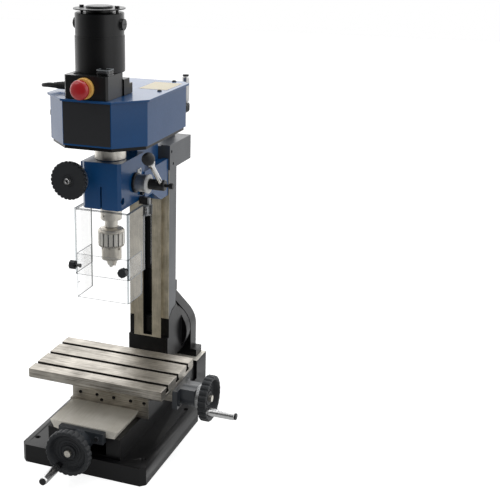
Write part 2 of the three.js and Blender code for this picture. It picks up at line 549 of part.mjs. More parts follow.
function table() {
  const half = TABLE.length / 2;
  const low = TABLE.top - TABLE.thickness;
  const front = -TABLE.width / 2;
  const rear = TABLE.width / 2;
  const chamfer = TABLE.edgeChamfer;
  const slab = prism("x", [[front + chamfer, low], [rear - chamfer, low], [rear, low + chamfer], [rear,
      TABLE.top], [front, TABLE.top], [front, low + chamfer]], -half, half);
  const wayLow = low - TABLE.wayDepth;
  const way = prism("x", [
    [saddleY - TABLE.wayBottom / 2, wayLow], [saddleY + TABLE.wayBottom / 2, wayLow],
    [saddleY + TABLE.wayTop / 2, low + bite], [saddleY - TABLE.wayTop / 2, low + bite],
  ], -half, half);
  const channel = box([-half - overrun, half + overrun], [saddleY - TABLE.channelWidth / 2,
      saddleY + TABLE.channelWidth / 2], [wayLow - overrun, wayLow + TABLE.wayDepth - overrun]);
  let made = cut(join(slab, way), channel);
  for (const lane of [-1, 0, 1]) {
    const y = lane * TABLE.slotPitch;
    const headTop = TABLE.top - TABLE.throatDepth;
    made = made.subtract(box([-half - overrun, half + overrun], [y - TABLE.throatWidth / 2,
        y + TABLE.throatWidth / 2], [headTop - bite, TABLE.top + overrun]));
    made = made.subtract(box([-half - overrun, half + overrun], [y - TABLE.headWidth / 2,
        y + TABLE.headWidth / 2], [headTop - TABLE.headHeight, headTop]));
  }
  return made;
}

function xBearingBracket() {
  const from = TABLE.length / 2 + gap;
  const plateEnd = from + X_BRACKET.thickness;
  const bossEnd = plateEnd + X_BRACKET.bossLength;
  const plate = box([from, plateEnd], [saddleY - X_BRACKET.halfWidth, saddleY + X_BRACKET.halfWidth],
      [X_BRACKET.low, X_BRACKET.top]);
  const barrel = bar("x", X_BRACKET.bossHalf, plateEnd - bite, bossEnd, [saddleY, xScrewZ]);
  const cheek = box([plateEnd - bite, bossEnd], [saddleY - X_BRACKET.bossHalf, saddleY + X_BRACKET.bossHalf],
      [xScrewZ, X_BRACKET.bossTop]);
  const bore = bar("x", WHEEL.collarRadius + gap, from - overrun, bossEnd + overrun, [saddleY, xScrewZ]);
  let made = cut(join(plate, barrel, cheek), bore);
  for (const side of [-1, 1]) {
    const at = [saddleY + side * X_BRACKET.boltY, X_BRACKET.low + X_BRACKET.boltRadius * 2];
    made = made.add(bar("x", X_BRACKET.boltRadius, plateEnd - bite, plateEnd + X_BRACKET.boltHead, at, small));
  }
  return made;
}

// Column

// Plan of the column: dovetail towards the head, square behind
function columnPlan(rear, halfWidth) {
  const shoulder = columnFaceY + COLUMN.dovetailDepth;
  return [
    [-COLUMN.dovetailHalf, columnFaceY], [COLUMN.dovetailHalf, columnFaceY], [COLUMN.rootHalf, shoulder],
    [halfWidth, shoulder],
    [halfWidth, rear], [-halfWidth, rear], [-halfWidth, shoulder], [-COLUMN.rootHalf, shoulder],
  ];
}

function column() {
  const shoulder = columnFaceY + COLUMN.dovetailDepth;
  const whole = prism("z", columnPlan(COLUMN.rear, COLUMN.halfWidth), COLUMN.frontLow, COLUMN.top);
  const lowerEnd = prism("x", [
    [shoulder, COLUMN.frontLow - overrun], [COLUMN.rear + overrun, COLUMN.frontLow - overrun],
    [COLUMN.rear + overrun, COLUMN.sideLowRear], [COLUMN.sideBendY, COLUMN.sideLowBend], [shoulder,
    COLUMN.sideLowFront],
  ], -COLUMN.halfWidth - overrun, COLUMN.halfWidth + overrun);
  const groove = box([-COLUMN.grooveHalf, COLUMN.grooveHalf], [columnFaceY - overrun,
      columnFaceY + COLUMN.grooveDepth], [COLUMN.frontLow + COLUMN.grooveFloor, COLUMN.top + overrun]);
  const slot = box([-COLUMN.grooveHalf, COLUMN.grooveHalf], [columnFaceY - overrun, COLUMN.rear + overrun],
      [COLUMN.slotLow, COLUMN.top + overrun]);
  const pocket = box([-COLUMN.pocketHalf, COLUMN.pocketHalf], [COLUMN.pocketFront, COLUMN.rear + overrun],
      [COLUMN.slotLow, COLUMN.top - COLUMN.pocketHalf]);
  return cut(whole, lowerEnd, groove, slot, pocket);
}

// Swivel foot under the column: the side slopes up behind the column, a round flange meets the upright plate
function columnFoot() {
  const shoulder = columnFaceY + COLUMN.dovetailDepth;
  const side = prism("x", [
    [FOOT.front, FOOT.low], [FOOT.rear, FOOT.low], [FOOT.rear, FOOT.rearTop],
    [FOOT.rear - FOOT.flangeThickness, FOOT.rearTop],
    [COLUMN.rear + gap, FOOT.topZ], [COLUMN.rear + gap, COLUMN.sideLowRear - gap], [COLUMN.sideBendY,
    COLUMN.sideLowBend - 2 * gap],
    [shoulder + gap, COLUMN.sideLowFront - gap], [shoulder + gap, COLUMN.frontLow - gap], [FOOT.front,
    COLUMN.frontLow - gap],
  ], -FOOT.halfWidth, FOOT.halfWidth);
  const flange = bar("y", FOOT.flangeRadius, FOOT.rear - FOOT.flangeThickness, FOOT.rear, [0, PIVOT.z], fine);
  const lug = prism("x", [
    [COLUMN.rear + gap, FOOT.lugRoot], [FOOT.lugFoot, FOOT.lugRoot], [FOOT.lugFoot, FOOT.lugLow],
    [FOOT.lugRear, FOOT.lugLow],
    [FOOT.lugRear, FOOT.lugTop], [COLUMN.rear + gap, FOOT.lugTop],
  ], -FOOT.lugHalf, FOOT.lugHalf);
  const screwHole = bar("z", WHEEL.screwRadius + gap, FOOT.lugLow + FOOT.lugFloor, FOOT.lugTop + overrun, [0,
      zScrewY]);
  const boltHole = bar("y", FOOT.boltHole, FOOT.rear - FOOT.boltDepth, FOOT.rear + overrun, [0, PIVOT.z]);
  return cut(join(side, flange, lug), screwHole, boltHole);
}

function columnTopBlock() {
  const low = COLUMN.top + gap;
  const top = low + BLOCK.height;
  const whole = prism("z", columnPlan(BLOCK.rear, BLOCK.halfWidth), low, top);
  const boss = chamferedBar("z", BLOCK.bossRadius, top - bite, top + BLOCK.bossHeight, [0, zScrewY], bite * 2);
  const groove = box([-COLUMN.grooveHalf, COLUMN.grooveHalf], [columnFaceY - overrun,
      columnFaceY + COLUMN.grooveDepth], [low - overrun, top + overrun]);
  const bore = bar("z", WHEEL.collarRadius + gap, low - overrun, top + BLOCK.bossHeight + overrun, [0,
      zScrewY]);
  let made = cut(join(whole, boss), groove, bore);
  for (const side of [-1, 1]) {
    const ends = [side * (BLOCK.halfWidth - BLOCK.screwDepth), side * (BLOCK.halfWidth + overrun)];
    const upper = [columnFaceY + BLOCK.frontScrewIn, top - BLOCK.frontScrewDrop];
    const lower = [columnFaceY + BLOCK.rearScrewIn, low + BLOCK.rearScrewRise];
    for (const at of [upper, lower]) {
      made = made.subtract(bar("x", BLOCK.screwRadius, Math.min(...ends), Math.max(...ends), at, small));
    }
  }
  return made;
}

// Head

function headCasting() {
  const { front, halfWidth, low, top, back, chamfer } = HEAD;
  const body = prism("z", [
    [-halfWidth + chamfer, front], [halfWidth - chamfer, front], [halfWidth, front + chamfer], [halfWidth,
    back], [-halfWidth, back], [-halfWidth, front + chamfer],
  ], low, top);
  const slide = prism("x", [
    [HEAD.slideFront, HEAD.low], [HEAD.slideFront + HEAD.slideChamfer * 2, HEAD.low],
    [HEAD.slideRear - HEAD.slideChamfer * 2, HEAD.slideLow],
    [HEAD.slideRear, HEAD.slideLow], [HEAD.slideRear, HEAD.slideTop], [HEAD.slideFront, HEAD.slideTop],
  ], -HEAD.slideHalf, HEAD.slideHalf);
  const neck = box([-HEAD.neckHalf, HEAD.neckHalf], [HEAD.neckFront, HEAD.neckRear], [HEAD.slideTop - bite,
      HEAD.neckTop]);
  const wormBox = box([-halfWidth - HEAD.wormBoxOut, -halfWidth + bite], [HEAD.wormBoxFront,
      HEAD.wormBoxRear], [HEAD.wormBoxLow, HEAD.wormBoxTop]);
  const quillBore = bar("z", QUILL.radius + gap, low - overrun, top + overrun, [0, spindleY], fine);
  const shaftBore = bar("x", FEED.shaftRadius + gap, -halfWidth - HEAD.wormBoxOut - overrun,
      halfWidth + overrun, [feedAxisY, RACK.z]);
  const pinionSpace = bar("x", RACK.pitchRadius + RACK.addendum + 2 * gap, -RACK.halfWidth - gap,
      RACK.halfWidth + gap, [feedAxisY, RACK.z]);
  const wheelSpace = box(
    [FEED.wormX - FEED.wormWheelWidth / 2 - gap, FEED.wormX + FEED.wormWheelWidth / 2 + gap],
    [HEAD.wormBoxFront + 2 * bite + gap, HEAD.wormBoxRear + overrun],
    [RACK.z - FEED.wormWheelRadius - gap * 2, FINE.z + FINE.wormRadius + 2 * gap],
  );
  const fineBore = bar("y", FINE.shaftRadius + gap, HEAD.wormBoxFront - overrun,
      HEAD.wormBoxFront + HEAD.wormBoxOut, [FINE.x, FINE.z]);
  const slit = box([-HEAD.slitWidth / 2, HEAD.slitWidth / 2], [front - overrun, spindleY], [low - overrun,
      HEAD.slitTop]);
  const play = dovetailPlay;
  const dovetail = prism("z", [
    [-COLUMN.dovetailHalf - play, columnFaceY - play], [COLUMN.dovetailHalf + play, columnFaceY - play],
    [COLUMN.rootHalf + play, HEAD.slideRear + overrun], [-COLUMN.rootHalf - play, HEAD.slideRear + overrun],
  ], HEAD.slideLow - overrun, HEAD.slideTop + overrun);
  const lockHole = bar("x", HEAD.lockHoleRadius, halfWidth - HEAD.lockHoleDepth, halfWidth + overrun,
      [HEAD.lockY, HEAD.lockZ], small);
  const headLockHole = bar("x", LOCK.radius / 2 + gap, HEAD.halfWidth - LOCK.shank - overrun,
      HEAD.slideHalf + overrun, [LOCK.headY, LOCK.headZ], small);
  return cut(join(body, slide, neck, wormBox), quillBore, shaftBore, pinionSpace, wheelSpace, fineBore, slit,
      dovetail, lockHole, headLockHole);
}

const feedAxisY = spindleY + RACK.y + RACK.pitchRadius;

function upperSleeve() {
  const from = HEAD.top + gap;
  const to = PLATE.low - gap;
  const bore = SLEEVE.radius - SLEEVE.wall;
  return turned("z", [[bore, from], [SLEEVE.radius - bite, from], [SLEEVE.radius, from + bite],
      [SLEEVE.radius, to], [bore, to], [bore, from]], [0, spindleY], fine);
}

// Nut bracket of the head: passes through the column's slot to the leadscrew behind the column
function zNut() {
  const ringTop = Z_NUT.low + Z_NUT.height;
  const arm = box([-Z_NUT.halfWidth, Z_NUT.halfWidth], [HEAD.slideRear - COLUMN.dovetailDepth + bite,
      zScrewY], [Z_NUT.low, ringTop]);
  const ring = bar("z", Z_NUT.ringRadius, Z_NUT.low, ringTop, [0, zScrewY]);
  const bore = bar("z", WHEEL.screwRadius + gap, Z_NUT.low - overrun, ringTop + overrun, [0, zScrewY]);
  return cut(join(arm, ring), bore);
}

// Plan of the gear housing: flat front, 45 degree shoulders, square sides and chamfered back
function housingPlan(inset) {
  const half = HOUSING.halfWidth - inset;
  const slantInset = inset * Math.tan(Math.PI / 8);
  const rear = HOUSING.rear - inset;
  const chamfer = HOUSING.rearChamfer - slantInset;
  return [
    [-HOUSING.frontHalf + slantInset, HOUSING.frontY + inset], [HOUSING.frontHalf - slantInset,
    HOUSING.frontY + inset],
    [half, HOUSING.shoulderY + slantInset], [half, rear - chamfer], [half - chamfer, rear], [-half + chamfer,
    rear], [-half, rear - chamfer], [-half, HOUSING.shoulderY + slantInset],
  ];
}

function gearPlate() {
  const plate = prism("z", housingPlan(PLATE.inset), PLATE.low, PLATE.low + PLATE.thickness);
  const bore = bar("z", SPINDLE.radius + gap * 2, PLATE.low - overrun, PLATE.low + PLATE.thickness + overrun,
      [0, spindleY]);
  return cut(plate, bore);
}

function gearHousing() {
  const walls = cut(
    prism("z", housingPlan(0), HOUSING.low, HOUSING.top),
    prism("z", housingPlan(HOUSING.wall), HOUSING.low - overrun, HOUSING.top + overrun),
  );
  let made = walls;
  for (let i = 0; i < HOUSING.ventCount; i++) {
    const z = HOUSING.ventZ + i * HOUSING.ventPitch - HOUSING.ventPitch;
    const y = [HOUSING.ventY - HOUSING.ventLength / 2, HOUSING.ventY + HOUSING.ventLength / 2];
    made = made.subtract(box([-HOUSING.halfWidth - overrun, -HOUSING.halfWidth + HOUSING.wall + overrun], y,
        [z, z + HOUSING.ventHeight]));
  }
  const rear = HOUSING.rear;
  made = made.add(chamferedBar("y", HOUSING.glandRadius, rear - bite, rear + HOUSING.glandLength,
      [-HOUSING.glandX, HOUSING.glandZ], bite * 2, small));
  made = made.subtract(bar("y", HOUSING.glandRadius / 2, rear - HOUSING.wall - overrun,
      rear + HOUSING.glandLength + overrun, [-HOUSING.glandX, HOUSING.glandZ], small));
  return made.subtract(bar("x", KNOB.shaftRadius + gap, -HOUSING.halfWidth - overrun,
      -HOUSING.halfWidth + HOUSING.wall + overrun, [KNOB.y, KNOB.z], small));
}

function housingLid() {
  const low = HOUSING.top + gap;
  const top = low + HOUSING.lidThickness;
  const plate = prism("z", housingPlan(-HOUSING.lidOverhang), low, top);
  const lip = cut(
    prism("z", housingPlan(HOUSING.wall + gap), low - HOUSING.lidLip, low + bite),
    prism("z", housingPlan(HOUSING.wall * 2 + gap), low - HOUSING.lidLip - overrun, low),
  );
  const shaftHole = bar("z", MOTOR.tubeBore, low - overrun, top + overrun, [0, MOTOR.y]);
  return cut(join(plate, lip), shaftHole);
}

function speedBoard() {
  const { width, depth, thickness, y, z } = BOARD;
  const low = PLATE.low + PLATE.thickness + gap;
  let made = box([-width / 2, width / 2], [y - depth / 2, y + depth / 2], [z, z + thickness]);
  for (const [sx, sy] of [[-1, -1], [1, -1], [1, 1], [-1, 1]])
    made = made.add(bar("z", thickness * 2, low, z + bite, [sx * (width / 2 - BOARD.post),
        y + sy * (depth / 2 - BOARD.post)], small));
  const partX = width * BOARD.partShare;
  const partY = depth * BOARD.partShare;
  const sinkY = depth * BOARD.sinkShare;
  const from = z + thickness - bite;
  const top = z + thickness;
  const block = box([partX, width / 2 - BOARD.post / 2], [y - partY, y + partY], [from,
      top + BOARD.blockHeight]);
  const capacitor = bar("z", BOARD.capRadius, from, top + BOARD.capHeight, [-partX, y], small);
  const sink = box([-BOARD.post / 2, BOARD.post], [y - sinkY, y + sinkY], [from, top + BOARD.sinkHeight]);
  return join(made, block, capacitor, sink);
}

const lidTop = HOUSING.top + gap + HOUSING.lidThickness;
const boxLow = lidTop + gap;
const boxTop = boxLow + BOX.height;
const motorLow = boxTop + gap;
const motorTop = motorLow + MOTOR.bodyHeight;

function controlBox() {
  const { halfWidth, front, rear, wall, edge } = BOX;
  const outer = prism("z", [
    [-halfWidth + edge, front], [halfWidth - edge, front], [halfWidth, front + edge], [halfWidth, rear],
    [-halfWidth, rear], [-halfWidth, front + edge],
  ], boxLow, boxTop);
  const inner = box([-halfWidth + wall, halfWidth - wall], [front + wall, rear - wall * 2], [boxLow - overrun,
      boxTop - wall]);
  const notch = bar("z", BOX.notch, boxLow - overrun, boxTop + overrun, [0, MOTOR.y]);
  const estopHole = bar("y", ESTOP.stemRadius + gap, front - overrun, front + wall + overrun, [ESTOP.x,
      ESTOP.z]);
  const leadHole = bar("x", LEAD.radius + gap, -halfWidth - overrun, -halfWidth + wall + overrun, [LEAD.y,
      LEAD.z], small);
  return cut(outer, inner, notch, estopHole, leadHole);
}

// Bracket under the back of the motor, with the tube that the motor shaft runs in
function motorBracket() {
  const rearFace = BOX.rear + gap;
  const low = box([-BRACKET.halfWidth, BRACKET.halfWidth], [rearFace, BRACKET.rear], [boxLow,
      boxLow + BRACKET.lowHeight]);
  const step = box([-BRACKET.halfWidth, BRACKET.halfWidth], [rearFace, BRACKET.stepRear], [boxLow,
      boxLow + BRACKET.stepHeight]);
  const tube = bar("z", MOTOR.tubeRadius, boxLow, boxTop, [0, MOTOR.y]);
  const bore = bar("z", MOTOR.tubeBore, boxLow - overrun, boxTop + overrun, [0, MOTOR.y]);
  const terminal = bar("x", LEAD.radius + gap, -BRACKET.halfWidth - overrun,
      -BRACKET.halfWidth + LEAD.bendRadius / 2, [LEAD.returnY, LEAD.returnZ], small);
  return cut(join(low, step, tube), bore, terminal);
}

function motorBody() {
  const { radius, wall, seam, seamDepth, shaftRadius } = MOTOR;
  const bore = shaftRadius + gap;
  const inner = radius - wall;
  const shell = turned("z", [
    [bore, motorLow], [radius - bite, motorLow], [radius, motorLow + bite], [radius, motorTop - seam],
    [radius - seamDepth, motorTop - seam],
    [radius - seamDepth, motorTop - bite * 2], [radius - seamDepth - bite * 2, motorTop], [0, motorTop], [0,
    motorTop - wall],
    [inner, motorTop - wall], [inner, motorLow + wall], [bore, motorLow + wall], [bore, motorLow],
  ], [0, MOTOR.y], fine);
  let made = shell;
  for (const side of [-1, 1]) {
    const from = side < 0 ? -radius - MOTOR.brushLength : radius - wall + bite;
    const to = side < 0 ? -radius + wall - bite : radius + MOTOR.brushLength;
    made = made.add(bar("x", MOTOR.brushRadius, from, to, [MOTOR.y, motorTop - MOTOR.brushBelow], small));
  }
  const plateLow = motorTop + MOTOR.plateGap;
  const plateTop = plateLow + MOTOR.plateThickness;
  made = made.add(bar("z", MOTOR.plateRadius, plateLow, plateTop, [0, MOTOR.y], fine));
  made = made.add(chamferedBar("z", MOTOR.bossRadius, motorTop - bite, plateTop + MOTOR.bossHeight, [0,
      MOTOR.y], bite * 2));
  for (const side of [-1, 1]) {
    const at = [side * MOTOR.postOrbit, MOTOR.y];
    made = made.add(bar("z", MOTOR.postRadius, motorTop - bite, plateTop + bite, at, small));
    made = made.add(bar("z", MOTOR.postHeadRadius, plateTop - bite, plateTop + MOTOR.postHeadLength, at,
        small));
  }
  return made;
}

// Armature, shaft and the pinion at its lower end
function motorRotor() {
  const pinion = prism("z", gearOutline(
    GEAR.pinionTeeth, GEAR.module, GEAR.module * GEAR.addendumShare, GEAR.module * GEAR.dedendumShare,
        GEAR.play, Math.PI / 2 + Math.PI / GEAR.pinionTeeth,
  ), 0, GEAR.width);
  const shaft = turned("z", [
    [0, GEAR.low - GEAR.width / 2], [MOTOR.shaftRadius, GEAR.low - GEAR.width / 2], [MOTOR.shaftRadius,
    motorLow + MOTOR.armatureInset],
    [MOTOR.armatureRadius, motorLow + MOTOR.armatureInset], [MOTOR.armatureRadius,
    motorTop - MOTOR.armatureInset], [0, motorTop - MOTOR.armatureInset],
  ], [0, 0], round);
  return join(pinion.translate([0, 0, GEAR.low]), shaft).translate([0, MOTOR.y, 0]);
}

// Driven gear on the spindle's line: it turns in the plate and drives the spindle, which slides through it
function spindleGear() {
  const outline = gearOutline(GEAR.wheelTeeth, GEAR.module, GEAR.module * GEAR.addendumShare,
      GEAR.module * GEAR.dedendumShare, GEAR.play, -Math.PI / 2);
  const wheel = prism("z", outline, GEAR.low, GEAR.low + GEAR.width);
  const hub = bar("z", GEAR.hubRadius, PLATE.low + PLATE.thickness + gap,
      GEAR.low + GEAR.width + GEAR.hubHeight, [0, 0]);
  const bore = bar("z", GEAR.bore, PLATE.low, GEAR.low + GEAR.width + GEAR.hubHeight + overrun, [0, 0]);
  return cut(join(wheel, hub), bore).translate([0, spindleY, 0]);
}

// Quill, spindle and chuck

function quill() {
  const body = turned("z", [
    [QUILL.bore, QUILL.low], [QUILL.noseRadius - bite, QUILL.low], [QUILL.noseRadius, QUILL.low + bite],
    [QUILL.noseRadius, QUILL.low + QUILL.noseHeight],
    [QUILL.radius, QUILL.low + QUILL.noseHeight], [QUILL.radius, QUILL.top], [QUILL.bore, QUILL.top],
    [QUILL.bore, QUILL.low],
  ], [0, spindleY], fine);
  const pitchY = spindleY + RACK.y;
  const tipY = pitchY + RACK.addendum;
  const rootY = pitchY - RACK.dedendum;
  const step = (2 * Math.PI * RACK.pitchRadius) / RACK.teeth;
  const lean = Math.tan((RACK.pressureAngle * Math.PI) / 180);
  const halfSpace = step / 4 + RACK.play / 2;
  let made = body.subtract(box([-RACK.halfWidth - gap, RACK.halfWidth + gap], [tipY,
      spindleY + QUILL.radius + overrun], [RACK.z - step * RACK.flatPitches, QUILL.top - step]));
  for (let i = -1; i < RACK.count - 1; i++) {
    const z = RACK.z + i * step;
    const space = prism("x", [
      [rootY, z - halfSpace + RACK.dedendum * lean], [rootY, z + halfSpace - RACK.dedendum * lean],
      [tipY + overrun, z + halfSpace + (RACK.addendum + overrun) * lean], [tipY + overrun,
      z - halfSpace - (RACK.addendum + overrun) * lean],
    ].reverse(), -RACK.halfWidth - gap, RACK.halfWidth + gap);
    made = made.subtract(space);
  }
  return made.subtract(bar("y", QUILL.screwRadius, spindleY - QUILL.noseRadius - overrun,
      spindleY - QUILL.noseRadius + QUILL.screwDepth, [QUILL.screwX, QUILL.screwZ], small));
}

function spindle() {
  const lower = QUILL.low - gap;
  return turned("z", [
    [0, SPINDLE.stubLow], [SPINDLE.stubRadius - bite, SPINDLE.stubLow], [SPINDLE.stubRadius,
    SPINDLE.noseLow - gap], [SPINDLE.noseRadius, SPINDLE.noseLow - gap + bite],
    [SPINDLE.noseRadius, lower], [SPINDLE.radius, lower + gap * 2], [SPINDLE.radius, SPINDLE.top], [0,
    SPINDLE.top],
  ], [0, spindleY], round);
}

// Jaw place: three round jaws on lines that meet below the nose
function jawFrame(index) {
  const frame = new THREE.Group();
  frame.position.set(0, spindleY, CHUCK.noseLow);
  frame.rotation.order = "ZYX";
  frame.rotation.z = (2 * Math.PI * index) / 3 + THREE.MathUtils.degToRad(CHUCK.jawStart);
  frame.rotation.y = (CHUCK.jawAngle * Math.PI) / 180;
  frame.updateMatrix();
  return frame;
}

function jawSolid(radius, from, to) {
  return bar("z", radius, from, to, [CHUCK.jawOffset + CHUCK.jawRadius, 0], 12);
}

function chuckBody() {
  const { coneTop, coneRadius, bodyRadius, lowRadius, lowTop, lowBottom, noseRadius, noseLow } = CHUCK;
  const outer = turned("z", [
    [0, noseLow], [noseRadius, noseLow], [noseRadius + bite * 2, noseLow + bite * 4],
    [lowRadius * CHUCK.noseShare, lowBottom - bite], [lowRadius, lowBottom], [lowRadius, lowTop],
    [bodyRadius, lowTop + gap], [bodyRadius, CHUCK.ringTop + gap], [coneRadius, coneTop], [0, coneTop],
  ], [0, spindleY], fine);
  const socket = turned("z", [
    [0, SPINDLE.stubLow - gap], [SPINDLE.stubRadius - bite + gap, SPINDLE.stubLow - gap],
    [SPINDLE.stubRadius + gap, coneTop + overrun], [0, coneTop + overrun],
  ], [0, spindleY], round);
  let made = cut(outer, socket);
  for (let i = 0; i < 3; i++) {
    const frame = jawFrame(i);
    const clear = jawSolid(CHUCK.jawRadius + gap, -CHUCK.jawTravel - CHUCK.jawRelief,
        CHUCK.jawLength + CHUCK.jawTravel + overrun);
    made = made.subtract(solid(geometryOf(clear).applyMatrix4(frame.matrix)));
    const keyHole = bar("x", CHUCK.keyHoleRadius, lowRadius - CHUCK.keyHoleDepth, bodyRadius + overrun, [0,
        CHUCK.keyHoleZ], small);
    const turn = frame.rotation.z + Math.PI / 3;
    const place = new THREE.Matrix4().makeTranslation(0, spindleY,
        0).multiply(new THREE.Matrix4().makeRotationZ(turn));
    made = made.subtract(solid(geometryOf(keyHole).applyMatrix4(place)));
  }
  return made;
}

function chuckSleeve() {
  const { ringRadius, ringLow, ringTop, ringChamfer } = CHUCK;
  const outline = lobedOutline(ringRadius, CHUCK.flutes, CHUCK.fluteDepth);
  const envelope = turned("z", [
    [0, ringLow], [ringRadius - ringChamfer / 2, ringLow], [ringRadius, ringLow + ringChamfer / 2],
    [ringRadius, ringTop - ringChamfer], [ringRadius - ringChamfer, ringTop], [0, ringTop],
  ], [0, spindleY], fine);
  const ring = prism("z", outline, ringLow, ringTop).translate([0, spindleY, 0]).intersect(envelope);
  const bore = bar("z", CHUCK.bodyRadius + gap, CHUCK.ringLow - overrun, CHUCK.ringTop + overrun, [0,
      spindleY], fine);
  return cut(ring, bore);
}

// Feed shaft with the rack pinion and the worm wheel, turned by the lever
function feedPinionShaft() {
  const pinion = prism("x", gearOutline(
    RACK.teeth, (2 * RACK.pitchRadius) / RACK.teeth, RACK.addendum, RACK.dedendum, RACK.play, Math.PI,
  ), -RACK.halfWidth, RACK.halfWidth).translate([0, feedAxisY, RACK.z]);
  const hubFrom = HEAD.halfWidth + FEED.flangeLength + FEED.collarLength + FEED.ringLength + 3 * gap;
  const hubTo = hubFrom + FEED.hubLength;
  const shaft = turned("x", [
    [0, FEED.wormX - FEED.wormWheelWidth], [FEED.shaftRadius, FEED.wormX - FEED.wormWheelWidth],
    [FEED.shaftRadius, hubFrom], [FEED.hubRadius, hubFrom], [FEED.hubRadius, hubTo - bite * 2],
    [FEED.hubRadius - bite * 2, hubTo], [FEED.tipRadius, hubTo], [FEED.tipRadius, hubTo + FEED.tipLength],
    [FEED.tipHeadRadius, hubTo + FEED.tipLength],
    [FEED.tipHeadRadius, hubTo + FEED.tipLength + FEED.tipHeadLength - bite], [FEED.tipHeadRadius - bite,
    hubTo + FEED.tipLength + FEED.tipHeadLength], [0, hubTo + FEED.tipLength + FEED.tipHeadLength],
  ], [feedAxisY, RACK.z], round);
  const wormWheel = prism("x", lobedOutline(FEED.wormWheelRadius, FEED.wormWheelTeeth, overrun),
      FEED.wormX - FEED.wormWheelWidth / 2, FEED.wormX + FEED.wormWheelWidth / 2).translate([0, feedAxisY,
      RACK.z]);
  const leverHole = leverSolid(bar("z", FEED.leverHole, 0, FEED.hubRadius * 2, [0, 0], small));
  return cut(join(pinion, shaft, wormWheel), leverHole);
}

const leverX = HEAD.halfWidth + FEED.flangeLength + FEED.collarLength + FEED.ringLength + 3 * gap + FEED.leverX;

// Carries a solid made along +Z onto the lever's line, out of the hub
function leverSolid(made) {
  const lean = (FEED.leverAngle * Math.PI) / 180 - Math.PI / 2;
  const place = new THREE.Matrix4().makeTranslation(leverX, feedAxisY,
      RACK.z).multiply(new THREE.Matrix4().makeRotationX(lean));
  return solid(geometryOf(made).applyMatrix4(place));
}

function feedLever() {
  const end = FEED.leverLength - FEED.ballSeat;
  const stud = FEED.leverRadius - bite;
  return leverSolid(turned("z", [
    [0, gap], [FEED.leverRadius, gap], [FEED.leverRadius, end - FEED.coneLength], [FEED.coneRadius,
    end - FEED.coneStep],
    [FEED.coneRadius - bite, end], [stud, end], [stud, FEED.leverLength], [0, FEED.leverLength],
  ], [0, 0], small));
}

function leverBall() {
  const centre = FEED.leverLength;
  const flat = FEED.leverLength - FEED.ballSeat + gap;
  const ball = solid(new THREE.SphereGeometry(FEED.ballRadius, round, small).rotateX(Math.PI / 2).translate(0,
      0, centre));
  const below = bar("z", FEED.ballRadius + overrun, centre - FEED.ballRadius - overrun, flat, [0, 0], small);
  const hole = bar("z", FEED.leverRadius - bite + gap, flat - overrun, centre + gap, [0, 0], small);
  return leverSolid(cut(ball, below, hole));
}

// Bearing flange, graduated barrel and white depth ring of the feed
function depthCollar() {
  const from = HEAD.halfWidth + gap;
  const bore = FEED.shaftRadius + gap;
  const flangeEnd = from + FEED.flangeLength;
  const collarEnd = flangeEnd + FEED.collarLength;
  return turned("x", [
    [bore, from], [FEED.flangeRadius, from], [FEED.flangeRadius, flangeEnd], [FEED.collarRadius, flangeEnd],
    [FEED.collarRadius, collarEnd],
    [FEED.ringRadius, collarEnd], [FEED.ringRadius, collarEnd + FEED.ringLength], [bore,
    collarEnd + FEED.ringLength], [bore, from],
  ], [feedAxisY, RACK.z], fine);
}

// Fine feed: worm shaft with its dial, and the big knob in front
function fineFeedShaft() {
  const dialBack = FINE.dialBack;
  const dialFront = dialBack - FINE.dialLength;
  const knobFront = dialFront - gap - FINE.knobLength + FINE.faceRecess;
  const wormFrom = feedAxisY - FINE.wormLength / 2;
  return turned("y", [
    [0, knobFront - gap - FINE.nutLength], [FINE.nutRadius, knobFront - gap - FINE.nutLength],
    [FINE.nutRadius, knobFront - gap], [FINE.shaftRadius, knobFront - gap], [FINE.shaftRadius, dialFront],
    [FINE.dialRadius, dialFront], [FINE.dialRadius, dialBack], [FINE.shaftRadius * 2,
    dialBack + FINE.shaftRadius], [FINE.shaftRadius, dialBack + FINE.shaftRadius * 2],
    [FINE.shaftRadius, wormFrom], [FINE.wormRadius, wormFrom + overrun], [FINE.wormRadius,
    feedAxisY + FINE.wormLength / 2], [0, feedAxisY + FINE.wormLength / 2],
  ], [FINE.x, FINE.z], round);
}

function fineFeedKnob() {
  const back = FINE.dialBack - FINE.dialLength - gap;
  const front = back - FINE.knobLength;
  const rim = prism("y", lobedOutline(FINE.knobRadius, FINE.lobes, FINE.lobeDepth), front,
      back).translate([FINE.x, 0, FINE.z]);
  const recess = bar("y", FINE.faceRadius, front - overrun, front + FINE.faceRecess, [FINE.x, FINE.z], fine);
  const bore = bar("y", FINE.shaftRadius + gap, front - overrun, back + overrun, [FINE.x, FINE.z], small);
  return cut(rim, recess, bore);
}

// Socket screw with its head outwards along +X
function socketScrew(headFrom, shankLength, [y, z]) {
  const head = chamferedBar("x", LOCK.radius, headFrom, headFrom + LOCK.length, [y, z], bite, small);
  const shank = bar("x", LOCK.radius / 2, headFrom - shankLength, headFrom + bite, [y, z], small);
  const socket = bar("x", LOCK.socket, headFrom + LOCK.length - LOCK.socketDepth,
      headFrom + LOCK.length + overrun, [y, z], 6);
  return cut(join(head, shank), socket);
}

// Chuck guard

function guardBracket() {
  const from = HEAD.halfWidth + gap;
  const arm = box([from, GUARD.pinX], [GUARD.pinY - GUARD.bracketThickness / 2,
      GUARD.pinY + GUARD.bracketThickness / 2], [HEAD.low - GUARD.lugRadius, HEAD.low + GUARD.lugRise]);
  const plate = box([from, from + GUARD.wall], [GUARD.pinY - GUARD.lugRadius, GUARD.pinY + GUARD.lugRadius],
      [HEAD.low - GUARD.lugRadius, HEAD.low + GUARD.lugRise]);
  const pin = bar("z", GUARD.pinRadius, GUARD.bracketLow - GUARD.pinRadius, HEAD.low + GUARD.lugRise,
      [GUARD.pinX, GUARD.pinY], small);
  return join(arm, plate, pin);
}

